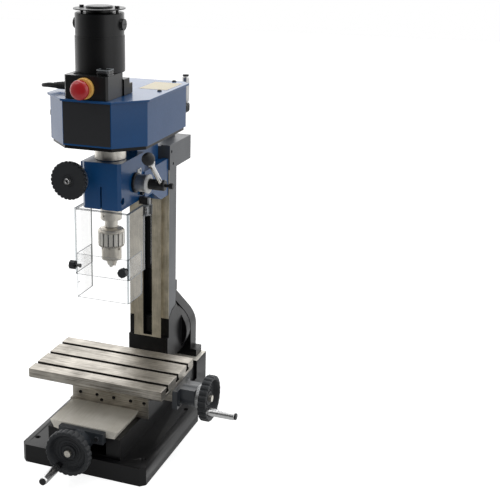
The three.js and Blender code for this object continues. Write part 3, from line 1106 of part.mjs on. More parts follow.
function guardShield() {
  const { left, right, front, rear, cornerRadius, wall, top, low } = GUARD;
  const shell = prism("z", wrapOutline(left, right, front, rear, cornerRadius, wall), low, top, cornerFacets);
  const rim = prism("z", wrapOutline(left, right, front, rear, cornerRadius, GUARD.flangeDepth), top - wall,
      top, cornerFacets);
  const lugTop = HEAD.low - GUARD.lugRadius - gap;
  const lug = bar("z", GUARD.lugRadius, GUARD.bracketLow, lugTop, [GUARD.pinX, GUARD.pinY], small);
  const lugArm = box([right - wall, GUARD.pinX + GUARD.lugRadius / 2], [rear - GUARD.flangeDepth, GUARD.pinY],
      [GUARD.bracketLow, lugTop]);
  const pinHole = bar("z", GUARD.pinRadius + gap, GUARD.bracketLow - overrun, lugTop + overrun, [GUARD.pinX,
      GUARD.pinY], small);
  const frontHole = bar("y", GUARD.boltRadius + gap, front - overrun, front + wall + overrun, [GUARD.knobX,
      GUARD.frontKnobZ], small);
  const sideHole = bar("x", GUARD.boltRadius + gap, left - overrun, left + wall + overrun, [GUARD.knobY,
      GUARD.sideKnobZ], small);
  return cut(join(shell, rim, lug, lugArm), pinHole, frontHole, sideHole);
}

function guardSlider() {
  const inset = GUARD.wall + gap;
  const left = GUARD.left + inset;
  const right = GUARD.right - inset;
  const front = GUARD.front + inset;
  const half = GUARD.slotWidth / 2;
  const outline = wrapOutline(left, right, front, GUARD.sliderRear, GUARD.cornerRadius - inset, GUARD.wall);
  const shell = prism("z", outline, GUARD.sliderLow, GUARD.sliderTop, cornerFacets);
  const slotUnder = (z) => [z - GUARD.slotLength + half, z + half];
  const frontSlot = box([GUARD.knobX - half, GUARD.knobX + half], [front - overrun,
      front + GUARD.wall + overrun], slotUnder(GUARD.frontKnobZ));
  const sideSlot = box([left - overrun, left + GUARD.wall + overrun], [GUARD.knobY - half,
      GUARD.knobY + half], slotUnder(GUARD.sideKnobZ));
  return cut(shell, frontSlot, sideSlot);
}

// Thumb knob with its bolt through both guard walls, made along +Z and placed by its mesh
function guardKnob() {
  const through = 2 * GUARD.wall + 3 * gap;
  const from = gap + GUARD.knobStand;
  const knob = prism("z", lobedOutline(GUARD.knobRadius, GUARD.knobLobes, GUARD.knobLobeDepth), from,
      from + GUARD.knobLength);
  const neck = bar("z", GUARD.knobNeck, gap, from + bite, [0, 0], small);
  const bolt = bar("z", GUARD.boltRadius, -through - bite, gap + bite, [0, 0], small);
  const head = bar("z", GUARD.boltHeadRadius, -through - GUARD.boltHeadLength, -through, [0, 0], small);
  return join(knob, neck, bolt, head);
}

// Small controls

function estopCollar() {
  const back = BOX.front - gap;
  const bore = ESTOP.stemRadius + gap;
  return turned("y", [
    [bore, back - ESTOP.collarLength], [ESTOP.collarRadius - bite * 2, back - ESTOP.collarLength],
    [ESTOP.collarRadius, back - ESTOP.collarLength + bite * 2], [ESTOP.collarRadius, back], [bore, back],
    [bore, back - ESTOP.collarLength],
  ], [ESTOP.x, ESTOP.z], fine);
}

function estopButton() {
  const collarFront = BOX.front - gap - ESTOP.collarLength;
  const headBack = collarFront - ESTOP.travel - gap * 2;
  const front = headBack - ESTOP.headDepth;
  const { headRadius, headDepth } = ESTOP;
  return turned("y", [
    [0, front], ...ESTOP.crownShares.map(([out, deep]) => [headRadius * out, front + headDepth * deep]),
    [headRadius * ESTOP.backShare, headBack], [ESTOP.stemRadius, headBack], [ESTOP.stemRadius,
    BOX.front + ESTOP.reach],
    [0, BOX.front + ESTOP.reach],
  ], [ESTOP.x, ESTOP.z], round);
}

// Rocker of the power switch, made on its own pivot line
function powerSwitch() {
  const half = SWITCH.width / 2;
  const deep = SWITCH.depth / 2;
  return prism("x", [
    [-deep, SWITCH.hingeRise], [0, 0], [deep, SWITCH.hingeRise], [deep, SWITCH.height], [0,
    SWITCH.height - SWITCH.hingeRise], [-deep, SWITCH.height],
  ], SWITCH.x - half, SWITCH.x + half);
}

function speedKnob() {
  const wallX = -HOUSING.halfWidth;
  return turned("x", [
    [0, wallX - gap - KNOB.length], [KNOB.radius - overrun, wallX - gap - KNOB.length], [KNOB.radius,
    wallX - gap - KNOB.length + overrun], [KNOB.radius, wallX - gap],
    [KNOB.shaftRadius, wallX - gap], [KNOB.shaftRadius, wallX + KNOB.shaftIn], [0, wallX + KNOB.shaftIn],
  ], [KNOB.y, KNOB.z], round);
}

// Lead from the box to the motor's terminals: out to the left, round a half turn and back
function leadPath() {
  const reliefEnd = -BOX.halfWidth - gap - LEAD.reliefLength;
  const turnX = reliefEnd - LEAD.turnOut;
  const points = [new THREE.Vector3(reliefEnd - gap, LEAD.y, LEAD.z), new THREE.Vector3(turnX, LEAD.y, LEAD.z)];
  const middleY = (LEAD.y + LEAD.returnY) / 2;
  for (let i = 1; i < LEAD.turnSteps; i++) {
    const turn = (Math.PI * i) / LEAD.turnSteps;
    const z = LEAD.z + ((LEAD.returnZ - LEAD.z) * i) / LEAD.turnSteps;
    points.push(new THREE.Vector3(turnX - LEAD.bendRadius * Math.sin(turn),
        middleY - LEAD.bendRadius * Math.cos(turn), z));
  }
  points.push(new THREE.Vector3(turnX, LEAD.returnY, LEAD.returnZ));
  points.push(new THREE.Vector3((turnX - BRACKET.halfWidth) / 2, LEAD.returnY, LEAD.returnZ));
  points.push(new THREE.Vector3(-BRACKET.halfWidth + LEAD.bendRadius / 2 - gap, LEAD.returnY, LEAD.returnZ));
  return new THREE.CatmullRomCurve3(points, false, "centripetal");
}

function controlLead() {
  const section = new THREE.Shape();
  section.absarc(0, 0, LEAD.radius, 0, 2 * Math.PI, false);
  return solid(new THREE.ExtrudeGeometry(section, { steps: 30, curveSegments: 5, bevelEnabled: false,
      extrudePath: leadPath() }));
}

function strainRelief() {
  const from = -BOX.halfWidth - gap;
  const length = LEAD.reliefLength;
  const profile = [[0, from], [LEAD.reliefBase, from]];
  for (let i = 0; i < LEAD.ribs; i++) {
    const share = (i + 1) / (LEAD.ribs + 1);
    const radius = LEAD.reliefBase + (LEAD.reliefTip - LEAD.reliefBase) * share;
    const place = from - length * share;
    profile.push([radius + LEAD.ribDepth, place + LEAD.ribDepth * 2], [radius + LEAD.ribDepth, place],
        [radius - LEAD.ribDepth / 2, place - LEAD.ribDepth]);
  }
  profile.push([LEAD.reliefTip, from - length], [0, from - length]);
  return turned("x", profile, [LEAD.y, LEAD.z], small);
}

// Assembly

const machine = new THREE.Group();

machine.add(
  piece("base_casting", baseCasting(), castBlack),
  piece("tilt_bracket", tiltBracket(), castGrey),
  piece("y_bearing_bracket", yBearingBracket(), castGrey),
  piece("pivot_bolt", pivotBolt(), turnedSteel),
);

const yBearingFace = BASE.blockFront - gap - Y_BRACKET.thickness - Y_BRACKET.bossLength;
const ySet = handwheelSet("y", -yBearingFace + BASE.slotBack, WHEEL.collarLength, true, 0);
ySet.position.set(0, yBearingFace, yScrewZ);
ySet.rotation.x = Math.PI / 2;
ySet.children[1].rotation.z = Math.atan2(-26, -17.5);

const xBearingFace = TABLE.length / 2 + gap + X_BRACKET.thickness + X_BRACKET.bossLength;
const xSet = handwheelSet("x", xBearingFace + TABLE.length / 2 - SADDLE.depth / 2, WHEEL.collarLength, true, 0);
xSet.position.set(xBearingFace, saddleY, xScrewZ);
xSet.rotation.y = Math.PI / 2;
xSet.children[1].rotation.z = Math.atan2(-28, 8);

const zBearingFace = COLUMN.top + gap + BLOCK.height + BLOCK.bossHeight;
const zSet = handwheelSet("z", zBearingFace - FOOT.lugLow - WHEEL.screwRadius, WHEEL.collarLength, false, 0);
zSet.position.set(0, zScrewY, zBearingFace);
zSet.children[1].rotation.z = THREE.MathUtils.degToRad(20);

machine.add(ySet, xSet, zSet);

machine.add(
  piece("saddle", saddle(), groundSteel),
  piece("cross_nut", crossNut(), bronze),
  piece("table", table(), groundSteel),
  piece("x_bearing_bracket", xBearingBracket(), castGrey),
  piece("column", column(), castGrey),
  piece("column_foot", columnFoot(), castBlack),
  piece("column_top_block", columnTopBlock(), castGrey),
  piece("head_casting", headCasting(), blueEnamel),
  piece("upper_sleeve", upperSleeve(), turnedSteel),
  piece("z_nut", zNut(), bronze),
  piece("gear_plate", gearPlate(), castBlack),
  piece("gear_housing", gearHousing(), blueEnamel),
  piece("housing_lid", housingLid(), blueEnamel),
  piece("speed_board", speedBoard(), boardGreen),
  piece("control_box", controlBox(), blackPlastic),
  piece("control_lead", controlLead(), blackPlastic),
  piece("strain_relief", strainRelief(), blackPlastic),
  piece("estop_collar", estopCollar(), yellowPlastic),
  piece("estop_button", estopButton(), redPlastic),
  piece("speed_knob", speedKnob(), blackPlastic),
  piece("motor_bracket", motorBracket(), castBlack),
  piece("motor_body", motorBody(), castBlack),
  piece("motor_rotor", motorRotor(), turnedSteel),
  piece("spindle_gear", spindleGear(), turnedSteel),
  piece("quill", quill(), turnedSteel),
  piece("spindle", spindle(), turnedSteel),
  piece("chuck_body", chuckBody(), turnedSteel),
  piece("chuck_sleeve", chuckSleeve(), turnedSteel),
  piece("feed_pinion_shaft", feedPinionShaft(), castBlack),
  piece("depth_collar", depthCollar(), turnedSteel),
  piece("feed_lever", feedLever(), turnedSteel),
  piece("lever_ball", leverBall(), blackPlastic),
  piece("fine_feed_shaft", fineFeedShaft(), dialGrey),
  piece("fine_feed_knob", fineFeedKnob(), blackPlastic),
  piece("quill_lock_screw", socketScrew(HEAD.halfWidth - HEAD.lockHoleDepth + gap, 0, [HEAD.lockY,
      HEAD.lockZ]), castBlack),
  piece("head_lock_screw", socketScrew(HEAD.halfWidth + gap, LOCK.shank, [LOCK.headY, LOCK.headZ]), castBlack),
  piece("guard_bracket", guardBracket(), groundSteel),
  piece("guard_shield", guardShield(), clearPlastic),
  piece("guard_slider", guardSlider(), clearPlastic),
);

const rocker = piece("power_switch", powerSwitch(), blackPlastic);
rocker.position.set(0, SWITCH.y, boxTop + gap);
rocker.rotation.x = THREE.MathUtils.degToRad(-SWITCH.lean);
machine.add(rocker);

for (let i = 0; i < 3; i++) {
  const jaw = piece("chuck_jaw_" + (i + 1), jawSolid(CHUCK.jawRadius, 0, CHUCK.jawLength), turnedSteel);
  const frame = jawFrame(i);
  frame.add(jaw);
  machine.add(frame);
}

const frontKnob = piece("guard_knob_front", guardKnob(), blackPlastic);
frontKnob.position.set(GUARD.knobX, GUARD.front, GUARD.frontKnobZ);
frontKnob.rotation.x = Math.PI / 2;
const sideKnob = piece("guard_knob_side", guardKnob(), blackPlastic);
sideKnob.position.set(GUARD.left, GUARD.knobY, GUARD.sideKnobZ);
sideKnob.rotation.y = -Math.PI / 2;
machine.add(frontKnob, sideKnob);

export default machine;
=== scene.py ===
"""Looks of a benchtop milling machine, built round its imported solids.

X runs along the table, Y runs back to the column and Z is up. Sizes in this file are millimetres and
turn to metres where a mesh is finished. Only the studio's are metres from the start.
"""

import json
import logging
import math
from dataclasses import dataclass
from enum import Enum
from typing import Callable, Iterable, Sequence

import bmesh
import bpy
from mathutils import Matrix, Vector


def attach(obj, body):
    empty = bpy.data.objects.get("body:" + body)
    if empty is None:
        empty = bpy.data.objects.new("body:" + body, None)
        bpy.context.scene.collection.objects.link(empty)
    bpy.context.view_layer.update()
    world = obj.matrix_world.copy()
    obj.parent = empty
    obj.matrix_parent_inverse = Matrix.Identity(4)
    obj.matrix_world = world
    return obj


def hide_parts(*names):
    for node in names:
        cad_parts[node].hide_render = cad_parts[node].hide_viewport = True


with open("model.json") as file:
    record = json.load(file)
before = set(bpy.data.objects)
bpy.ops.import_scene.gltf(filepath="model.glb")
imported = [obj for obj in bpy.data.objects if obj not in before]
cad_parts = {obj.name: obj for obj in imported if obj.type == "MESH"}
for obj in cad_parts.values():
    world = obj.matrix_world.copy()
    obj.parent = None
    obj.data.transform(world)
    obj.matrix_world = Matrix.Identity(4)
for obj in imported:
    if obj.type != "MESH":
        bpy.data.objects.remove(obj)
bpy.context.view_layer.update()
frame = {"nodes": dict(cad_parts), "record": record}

LOG = logging.getLogger("milling_machine")
MM = 0.001
# Clearance that the solids keep between pieces that touch
GAP = 0.3
RECORD = frame["record"]
BODY_OF = {node: body for body, nodes in RECORD["behaviour"]["bodies"].items() for node in nodes}

Profile = Sequence[tuple[float, float]]
Point = tuple[float, float, float]
Colour = tuple[float, float, float, float]
WHITE: Colour = (1.0, 1.0, 1.0, 1.0)
# Range that most of a noise's values fall in
NOISE_RANGE = (0.3, 0.7)
# Turns figures made on the XY plane so that they stand on a drum and face away from its axis
STANDING = Matrix(((0, 0, 1, 0), (1, 0, 0, 0), (0, 1, 0, 0), (0, 0, 0, 1)))


class Facing(Enum):
    """Way that a shape made along +Z points: its own X, Y and Z in the machine's axes."""

    RIGHT = ((0, 1, 0), (0, 0, 1), (1, 0, 0))
    LEFT = ((0, -1, 0), (0, 0, 1), (-1, 0, 0))
    FRONT = ((1, 0, 0), (0, 0, 1), (0, -1, 0))
    UP = ((1, 0, 0), (0, 1, 0), (0, 0, 1))


class Recess(Enum):
    """Driving recess in a screw's head, as the number of its sides."""

    HEX = 6
    NONE = 0


class Pattern(Enum):
    """Way that a Geometry Nodes tree repeats a part."""

    RING = "repeat_round_a_ring"
    ROW = "repeat_along_a_row"


def placed(facing: Facing, at: Point) -> Matrix:
    """Gives the matrix that carries a shape made along +Z to its place.

    Args:
        facing: the way its own axis points.
        at: where its origin goes, in millimetres.

    Returns:
        The matrix, in millimetres.
    """
    x, y, z = (Vector(v) for v in facing.value)
    return Matrix.Translation(at) @ Matrix((x, y, z)).transposed().to_4x4()


def turn_of(x: float, y: float) -> float:
    """Gives the turn round an axis, in degrees, at which a thing stands at x and y from it."""
    return math.degrees(math.atan2(y, x))


def linear(code: str) -> Colour:
    """Turns an sRGB hex colour to linear values.

    Args:
        code: six hex digits after a leading mark.

    Returns:
        Red, green, blue and an alpha of one.
    """
    digits = code.lstrip("#")
    channels = [int(digits[i : i + 2], 16) / 255 for i in (0, 2, 4)]
    r, g, b = (c / 12.92 if c <= 0.04045 else ((c + 0.055) / 1.055) ** 2.4 for c in channels)
    return r, g, b, 1.0


def add_node(
    tree: bpy.types.NodeTree, kind: str, inputs: dict | None = None, **settings: object
) -> bpy.types.Node:
    """Adds a node with its settings, values and links.

    Args:
        tree: the tree that gets the node.
        kind: the node's type name.
        inputs: socket name or number to a value, or to (node, output) for a link.
        **settings: properties of the node itself.

    Returns:
        The new node.
    """
    node = tree.nodes.new(kind)
    for name, value in settings.items():
        setattr(node, name, value)
    for key, value in (inputs or {}).items():
        socket = node.inputs[key]
        if isinstance(value, tuple) and len(value) == 2 and isinstance(value[0], bpy.types.Node):
            tree.links.new(value[0].outputs[value[1]], socket)
        else:
            socket.default_value = value
    return node


def ramp_stops(node: bpy.types.Node, stops: Sequence[tuple[float, Colour]]) -> None:
    """Sets a colour ramp's stops.

    Args:
        node: the ramp's node.
        stops: (place, colour) in order.
    """
    ramp = node.color_ramp
    while len(ramp.elements) < len(stops):
        ramp.elements.new(1.0)
    for element, (place, colour) in zip(ramp.elements, stops):
        element.position = place
        element.color = colour


def fresh_tree(owner: bpy.types.Material | bpy.types.World) -> bpy.types.NodeTree:
    """Gives a material or a world a node tree with nothing in it.

    Args:
        owner: the material or the world.

    Returns:
        Its tree.
    """
    owner.use_nodes = True
    owner.node_tree.nodes.clear()
    return owner.node_tree


def looked_at(tree: bpy.types.NodeTree, path: bpy.types.Node) -> bpy.types.Node:
    """Adds a node that gives 1 where the camera looks, straight or through glass, and 0 elsewhere."""
    return add_node(tree, "ShaderNodeMath", {0: (path, "Is Camera Ray"), 1: (path, "Is Transmission Ray")},
                    operation="MAXIMUM")


@dataclass(frozen=True)
class Surface:
    """What a face is made of, named for the real material."""

    name: str

    def material(self) -> bpy.types.Material:
        """Builds the material, or finds the one already built.

        Returns:
            A node material that reads Object coordinates.
        """
        name = "finish_" + self.name
        found = bpy.data.materials.get(name)
        if found:
            return found
        made = bpy.data.materials.new(name)
        self.wire(fresh_tree(made))
        return made

    def wire(self, tree: bpy.types.NodeTree) -> None:
        """Fills the material's tree, in each kind of surface's own way."""
        raise NotImplementedError


# Rule that gives a face its finish from its middle and its normal
Region = Callable[[Vector, Vector], Surface]


@dataclass(frozen=True)
class Finish(Surface):
    """An opaque surface: two close tones, a gloss, and the fine grain that its making leaves.

    The grain drives the bump, and it and a slow cloud together drive the tone and the gloss.
    """

    colour: str
    variation: str
    roughness: float = 0.5
    metallic: float = 0.0
    coat: float = 0.0
    coat_roughness: float = 0.1
    ior: float = 1.5
    spread: float = 0.15
    grain_mm: float = 1.0
    grain_stretch: Point = (1.0, 1.0, 1.0)
    bump: float = 0.05
    bump_mm: float = 0.2
    cloud_mm: float = 60.0
    grain_share: float = 0.5
    dull_share: float = 1.2
    glossy_share: float = 0.85

    def wire(self, tree: bpy.types.NodeTree) -> None:
        """Fills the tree with grain, cloud, tone, gloss, bump and shader.

        Args:
            tree: the material's, empty.
        """
        place = add_node(tree, "ShaderNodeTexCoord")
        stretch = tuple(1 / s for s in self.grain_stretch)
        mapping = add_node(tree, "ShaderNodeMapping", {"Vector": (place, "Object"), "Scale": stretch})
        grain = add_node(tree, "ShaderNodeTexNoise", {
            "Vector": (mapping, "Vector"), "Scale": 1 / (self.grain_mm * MM), "Detail": 3.0,
            "Roughness": 0.6})
        cloud = add_node(tree, "ShaderNodeTexNoise", {
            "Vector": (place, "Object"), "Scale": 1 / (self.cloud_mm * MM), "Detail": 4.0, "Roughness": 0.55})
        both = add_node(tree, "ShaderNodeMix", {
            "Factor": self.grain_share, 2: (cloud, "Fac"), 3: (grain, "Fac")}, data_type="FLOAT")
        tone = add_node(tree, "ShaderNodeValToRGB", {"Fac": (both, 0)})
        ramp_stops(tone, [
            (0.5 - self.spread, linear(self.variation)), (0.5 + self.spread, linear(self.colour))])
        gloss = add_node(tree, "ShaderNodeMapRange", {
            "Value": (both, 0), "From Min": NOISE_RANGE[0], "From Max": NOISE_RANGE[1],
            "To Min": self.roughness * self.dull_share, "To Max": self.roughness * self.glossy_share})
        relief = add_node(tree, "ShaderNodeBump", {
            "Strength": self.bump, "Distance": self.bump_mm * MM, "Height": (grain, "Fac")})
        shader = add_node(tree, "ShaderNodeBsdfPrincipled", {
            "Base Color": (tone, "Color"), "Roughness": (gloss, "Result"), "Normal": (relief, "Normal"),
            "Metallic": self.metallic, "IOR": self.ior, "Coat Weight": self.coat,
            "Coat Roughness": self.coat_roughness})
        add_node(tree, "ShaderNodeOutputMaterial", {"Surface": (shader, "BSDF")})


# Two-pack enamel over filled iron: even and glossy, so it pales where it mirrors the room
BLUE_ENAMEL = Finish("blue_enamel", "#0d4a80", "#0a4375", 0.36, coat=0.42, coat_roughness=0.12, ior=1.3,
                     grain_mm=1.6, bump=0.03, cloud_mm=90.0)
# The same enamel in black over the castings, whose sand-cast skin stays a little rough under it
BLACK_ENAMEL = Finish("black_enamel", "#0a0a0c", "#070709", 0.42, coat=0.2, coat_roughness=0.2, ior=1.28,
                      grain_mm=1.2, bump=0.15)
# Black enamel on the motor's drawn steel shell: smooth, long soft highlights
MOTOR_ENAMEL = Finish("motor_enamel", "#0a0b0d", "#08080a", 0.42, ior=1.38, coat=0.15, coat_roughness=0.18,
                      grain_mm=1.0, bump=0.04)
# Satin grey enamel on the column's sides and its top block
GREY_ENAMEL = Finish("grey_enamel", "#4b4e53", "#44474c", 0.45, coat=0.2, coat_roughness=0.25,
                     grain_mm=1.2, bump=0.1)
# Darker satin grey on the screws' brackets
DARK_GREY_ENAMEL = Finish("dark_grey_enamel", "#2b3036", "#25292e", 0.42, coat=0.3, coat_roughness=0.25,
                          grain_mm=1.2, bump=0.12)
# Ground cast iron under oil: warm grey, with fine grinding lines along X
GROUND_IRON = Finish("ground_iron", "#c4beb4", "#706b62", 0.36, spread=0.12, metallic=0.9, grain_mm=1.5,
                     grain_stretch=(34.0, 1.0, 1.0), bump=0.06, cloud_mm=42.0, grain_share=0.55)
# Inside of the slots: the same iron, unground, darkened as painted shade, for the shade that falls in the
# slots
SLOT_IRON_PAINTED_SHADE = Finish("slot_iron_painted_shade", "#3a3732", "#24221f", 0.5, metallic=0.6, grain_mm=1.5, bump=0.15)
# Ground ways of the base, lines running front to back, more matt, and paler than the table's iron: the
# paleness is a painted sheen for the bright light they show
GROUND_WAY_PAINTED_SHEEN = Finish("ground_way_painted_sheen", "#f4f0e6", "#d6d1c4", 0.44, metallic=0.3, grain_mm=1.3,
                    grain_stretch=(1.0, 34.0, 1.0), bump=0.04, cloud_mm=60.0, grain_share=0.35)
# Milled and scraped faces of the column, lines running up
MILLED_COLUMN = Finish("milled_column", "#d4cbb6", "#9a917e", 0.45, metallic=0.5, grain_mm=1.2,
                       grain_stretch=(1.0, 1.0, 30.0), bump=0.06, cloud_mm=24.0, grain_share=0.45)
# Turned bright steel: tool marks too fine to see one by one, which leave a soft satin
TURNED_STEEL = Finish("turned_steel", "#e8e4db", "#cfcac0", 0.42, metallic=1.0, grain_mm=0.8, bump=0.04)
# The chuck's hardened steel, a little darker
CHUCK_STEEL = Finish("chuck_steel", "#dcd6cb", "#bdb7ac", 0.4, metallic=1.0, grain_mm=0.8, bump=0.04)
# Ground steel of the chuck's jaws and its sleeve's flats, paler and cooler than its turned faces
FLAT_STEEL = Finish("flat_steel", "#e6e3dc", "#cbc8c1", 0.42, metallic=1.0, grain_mm=0.8, bump=0.04)
# Blackened steel of socket screws and the feed shaft: dark, with a low oily shine
BLACK_STEEL = Finish("black_steel", "#1d1e21", "#151618", 0.36, metallic=0.3, grain_mm=0.8, bump=0.06)
# Polished chrome plate of the feed lever: a near mirror
CHROME = Finish("chrome", "#d0d0d0", "#c2c2c2", 0.1, metallic=1.0, grain_mm=0.8, bump=0.015)
# Handles: the same plating, brushed, so that lamps spread along the barrel
BRUSHED_CHROME = Finish("brushed_chrome", "#d6d6d6", "#c6c6c6", 0.27, metallic=1.0, grain_mm=0.8, bump=0.02)
# Zinc-plated hinge pin of the guard: pale blue-grey, half matt
ZINC = Finish("zinc_plate", "#a9abad", "#8f9193", 0.3, metallic=0.9, grain_mm=4.0, bump=0.04)
# Cast bronze of the leadscrews' nuts: brown-gold with a soft machined shine
BRONZE = Finish("bronze", "#b08a45", "#8d6c34", 0.35, metallic=1.0, grain_mm=0.8, bump=0.08)
# Moulded nylon of the wheels and knobs: fine spark texture
MOULDED_BLACK = Finish("moulded_black", "#2a2c2f", "#232528", 0.5, ior=1.38, grain_mm=0.9, bump=0.2)
# Moulded box of the controls: finer texture
BOX_BLACK = Finish("box_black", "#101113", "#0c0d0e", 0.38, ior=1.42, coat=0.2, coat_roughness=0.3,
                   grain_mm=0.7, bump=0.08)
# Rubber of the lead, its relief and the column's slot lips: matt, almost no highlight
RUBBER = Finish("black_rubber", "#161719", "#101112", 0.6, grain_mm=1.0, bump=0.1)
# Moulded ABS of the stop button: smooth and glossy
RED_ABS = Finish("red_abs", "#b9161f", "#a8131b", 0.3, coat=0.4, grain_mm=1.0, bump=0.03)
# Moulded ABS of its collar, more matt
YELLOW_ABS = Finish("yellow_abs", "#f0bd63", "#e6b157", 0.4, grain_mm=1.0, bump=0.05)
# Matt plastic film of the front plate, left bare
PLATE_FILM = Finish("plate_film", "#2a2b2e", "#242528", 0.36, grain_mm=0.8, bump=0.04)
# Aged paper-backed film of the lid's label, left bare
LABEL_FILM = Finish("label_film", "#d2c6a6", "#c7bb9c", 0.4, grain_mm=1.2, bump=0.04)
# Matt chromed dials, so that the marks read
DIAL_SATIN = Finish("dial_satin", "#b3b4b4", "#9c9d9d", 0.36, metallic=0.85, grain_mm=0.8, bump=0.03)
# White plastic of the depth collar's end ring and the head's pointer plate: satin
WHITE_RING = Finish("white_ring", "#e8e8e6", "#dcdcda", 0.4, grain_mm=1.0, bump=0.04)
# Engraving filled with black lacquer
INK = Finish("ink", "#161617", "#101011", 0.5, grain_mm=1.0, bump=0.02)
# Painted shade: unlit near-black put at the bottoms of small holes and slots, for the shade inside them
SHADOW_HOLE = Finish("shadow_hole", "#0b0b0c", "#080809", 0.7, grain_mm=1.0, bump=0.02)
# Green lacquer of the circuit board inside the housing
CIRCUIT_LACQUER = Finish("circuit_lacquer", "#2c6b45", "#235a39", 0.4, grain_mm=1.5, bump=0.1)


@dataclass(frozen=True)
class ClearSheet(Surface):
    """Clear polycarbonate: almost no colour, with painted shade that greys it on the slant, and faint scuffs
    in its gloss.
    """

    colour: str = "#fcfcfc"
    slant_shade: str = "#8d9498"
    ior: float = 1.6
    scuffs_per_metre: float = 90.0
    clear_until: float = 0.72
    shade_from: float = 0.95

    def wire(self, tree: bpy.types.NodeTree) -> None:
        """Fills the tree with a see-through part and a mirror on the outer face, shared by slant.

        Args:
            tree: the material's, empty.
        """
        place = add_node(tree, "ShaderNodeTexCoord")
        scuff = add_node(tree, "ShaderNodeTexNoise", {
            "Vector": (place, "Object"), "Scale": self.scuffs_per_metre, "Detail": 5.0})
        gloss = add_node(tree, "ShaderNodeMapRange", {
            "Value": (scuff, "Fac"), "From Min": 0.4, "From Max": 0.8, "To Min": 0.02, "To Max": 0.1})
        # Painted shade and reflection: the see-through part turns grey where the sheet is seen on the slant
        slant = add_node(tree, "ShaderNodeLayerWeight", {"Blend": 0.5})
        tint = add_node(tree, "ShaderNodeValToRGB", {"Fac": (slant, "Facing")})
        ramp_stops(tint, [
            (0.0, linear(self.colour)), (self.clear_until, linear(self.colour)),
            (self.shade_from, linear(self.slant_shade))])
        open_way = add_node(tree, "ShaderNodeBsdfTransparent", {"Color": (tint, "Color")})
        mirror = add_node(tree, "ShaderNodeBsdfGlossy", {"Color": WHITE, "Roughness": (gloss, "Result")})
        share = add_node(tree, "ShaderNodeFresnel", {"IOR": self.ior})
        side = add_node(tree, "ShaderNodeNewGeometry")
        outer = add_node(tree, "ShaderNodeMath", {0: 1.0, 1: (side, "Backfacing")}, operation="SUBTRACT")
        shine = add_node(tree, "ShaderNodeMath", {0: (share, "Fac"), 1: (outer, 0)}, operation="MULTIPLY")
        both = add_node(tree, "ShaderNodeMixShader", {
            0: (shine, 0), 1: (open_way, "BSDF"), 2: (mirror, "BSDF")})
        add_node(tree, "ShaderNodeOutputMaterial", {"Surface": (both, "Shader")})


CLEAR_SHEET = ClearSheet("clear_sheet")
# Its bends, painted grey and darker still on the slant: painted shade and reflection where the sheet curves
# across the line of sight
BEND_PAINTED_SHADE = ClearSheet("bend_painted_shade", "#b9bdbf", "#4c5256")
# Sawn edges of the sheet scatter the light, so they read as pale grey lines
SAWN_EDGE = Finish("sawn_edge", "#8f9497", "#7b8083", 0.5, grain_mm=1.0, bump=0.05)


def as_mesh(shape: bmesh.types.BMesh) -> bpy.types.Mesh:
    """Turns a working mesh into a plain one.

    Args:
        shape: the working mesh. It's used up.

    Returns:
        The plain mesh.
    """
    mesh = bpy.data.meshes.new("shape")
    shape.to_mesh(mesh)
    shape.free()
    return mesh


def bar_mesh(low: Point, high: Point, edge: float = 0.0) -> bpy.types.Mesh:
    """Makes a small block.

    Args:
        low: its lowest corner.
        high: its highest corner.
        edge: width of the rounding on its edges.

    Returns:
        A closed mesh, in millimetres.
    """
    shape = bmesh.new()
    bmesh.ops.create_cube(shape, size=1.0)
    span = Vector(high) - Vector(low)
    fit = Matrix.Translation((Vector(low) + Vector(high)) / 2) @ Matrix.Diagonal((*span, 1.0))
    bmesh.ops.transform(shape, verts=shape.verts, matrix=fit)
    if edge:
        bmesh.ops.bevel(shape, geom=shape.edges[:], offset=edge, offset_type="OFFSET", segments=1,
                        profile=0.5, affect="EDGES")
    return as_mesh(shape)


@dataclass(frozen=True)
class Lobes:
    """Bumps round a grip, with notches between them that show past a radius."""

    count: int
    depth: float
    past: float
    narrowness: float = 1.6

    def reach(self, radius: float, turn: float) -> float:
        """Takes the notches out of a radius.

        Args:
            radius: without them.
            turn: round the grip's axis, in radians.

        Returns:
            The radius at that turn.
        """
        if radius < self.past:
            return radius
        return radius - self.depth * (1 - abs(math.sin(self.count * turn / 2))) ** self.narrowness


def lathe_mesh(profile: Profile, facets: int = 64, lobes: Lobes | None = None) -> bpy.types.Mesh:
    """Turns a profile round +Z.

    Args:
        profile: (radius, height) points in order. A point on the axis becomes a pole, and a profile that
            ends where it starts becomes a ring.
        facets: flat strips round the circle.
        lobes: bumps round the outside, if it has them.

    Returns:
        A closed mesh that faces outwards, in millimetres.
    """
    shape = bmesh.new()
    ring_closed = profile[0] == profile[-1]
    points = profile[:-1] if ring_closed else profile
    rings = []
    for radius, height in points:
        if radius == 0:
            rings.append([shape.verts.new((0, 0, height))])
            continue
        ring = []
        for i in range(facets):
            turn = 2 * math.pi * i / facets
            reach = lobes.reach(radius, turn) if lobes else radius
            ring.append(shape.verts.new((reach * math.cos(turn), reach * math.sin(turn), height)))
        rings.append(ring)
    pairs = list(zip(rings, rings[1:])) + ([(rings[-1], rings[0])] if ring_closed else [])
    for first, second in pairs:
        for i in range(facets):
            j = (i + 1) % facets
            near = [first[i % len(first)], first[j % len(first)]]
            far = [second[j % len(second)], second[i % len(second)]]
            corners = list(dict.fromkeys(near + far))
            if len(corners) > 2:
                shape.faces.new(corners)
    bmesh.ops.recalc_face_normals(shape, faces=shape.faces)
    return as_mesh(shape)


def plate_mesh(outline: Profile, thickness: float) -> bpy.types.Mesh:
    """Pushes an outline up into a plate.

    Args:
        outline: (x, y) points in order.
        thickness: how far it's pushed up.

    Returns:
        A closed mesh that stands on the XY plane, in millimetres.
    """
    shape = bmesh.new()
    face = shape.faces.new([shape.verts.new((x, y, 0)) for x, y in outline])
    grown = bmesh.ops.extrude_face_region(shape, geom=[face])["geom"]
    risen = [v for v in grown if isinstance(v, bmesh.types.BMVert)]
    bmesh.ops.translate(shape, vec=(0, 0, thickness), verts=risen)
    bmesh.ops.recalc_face_normals(shape, faces=shape.faces)
    return as_mesh(shape)


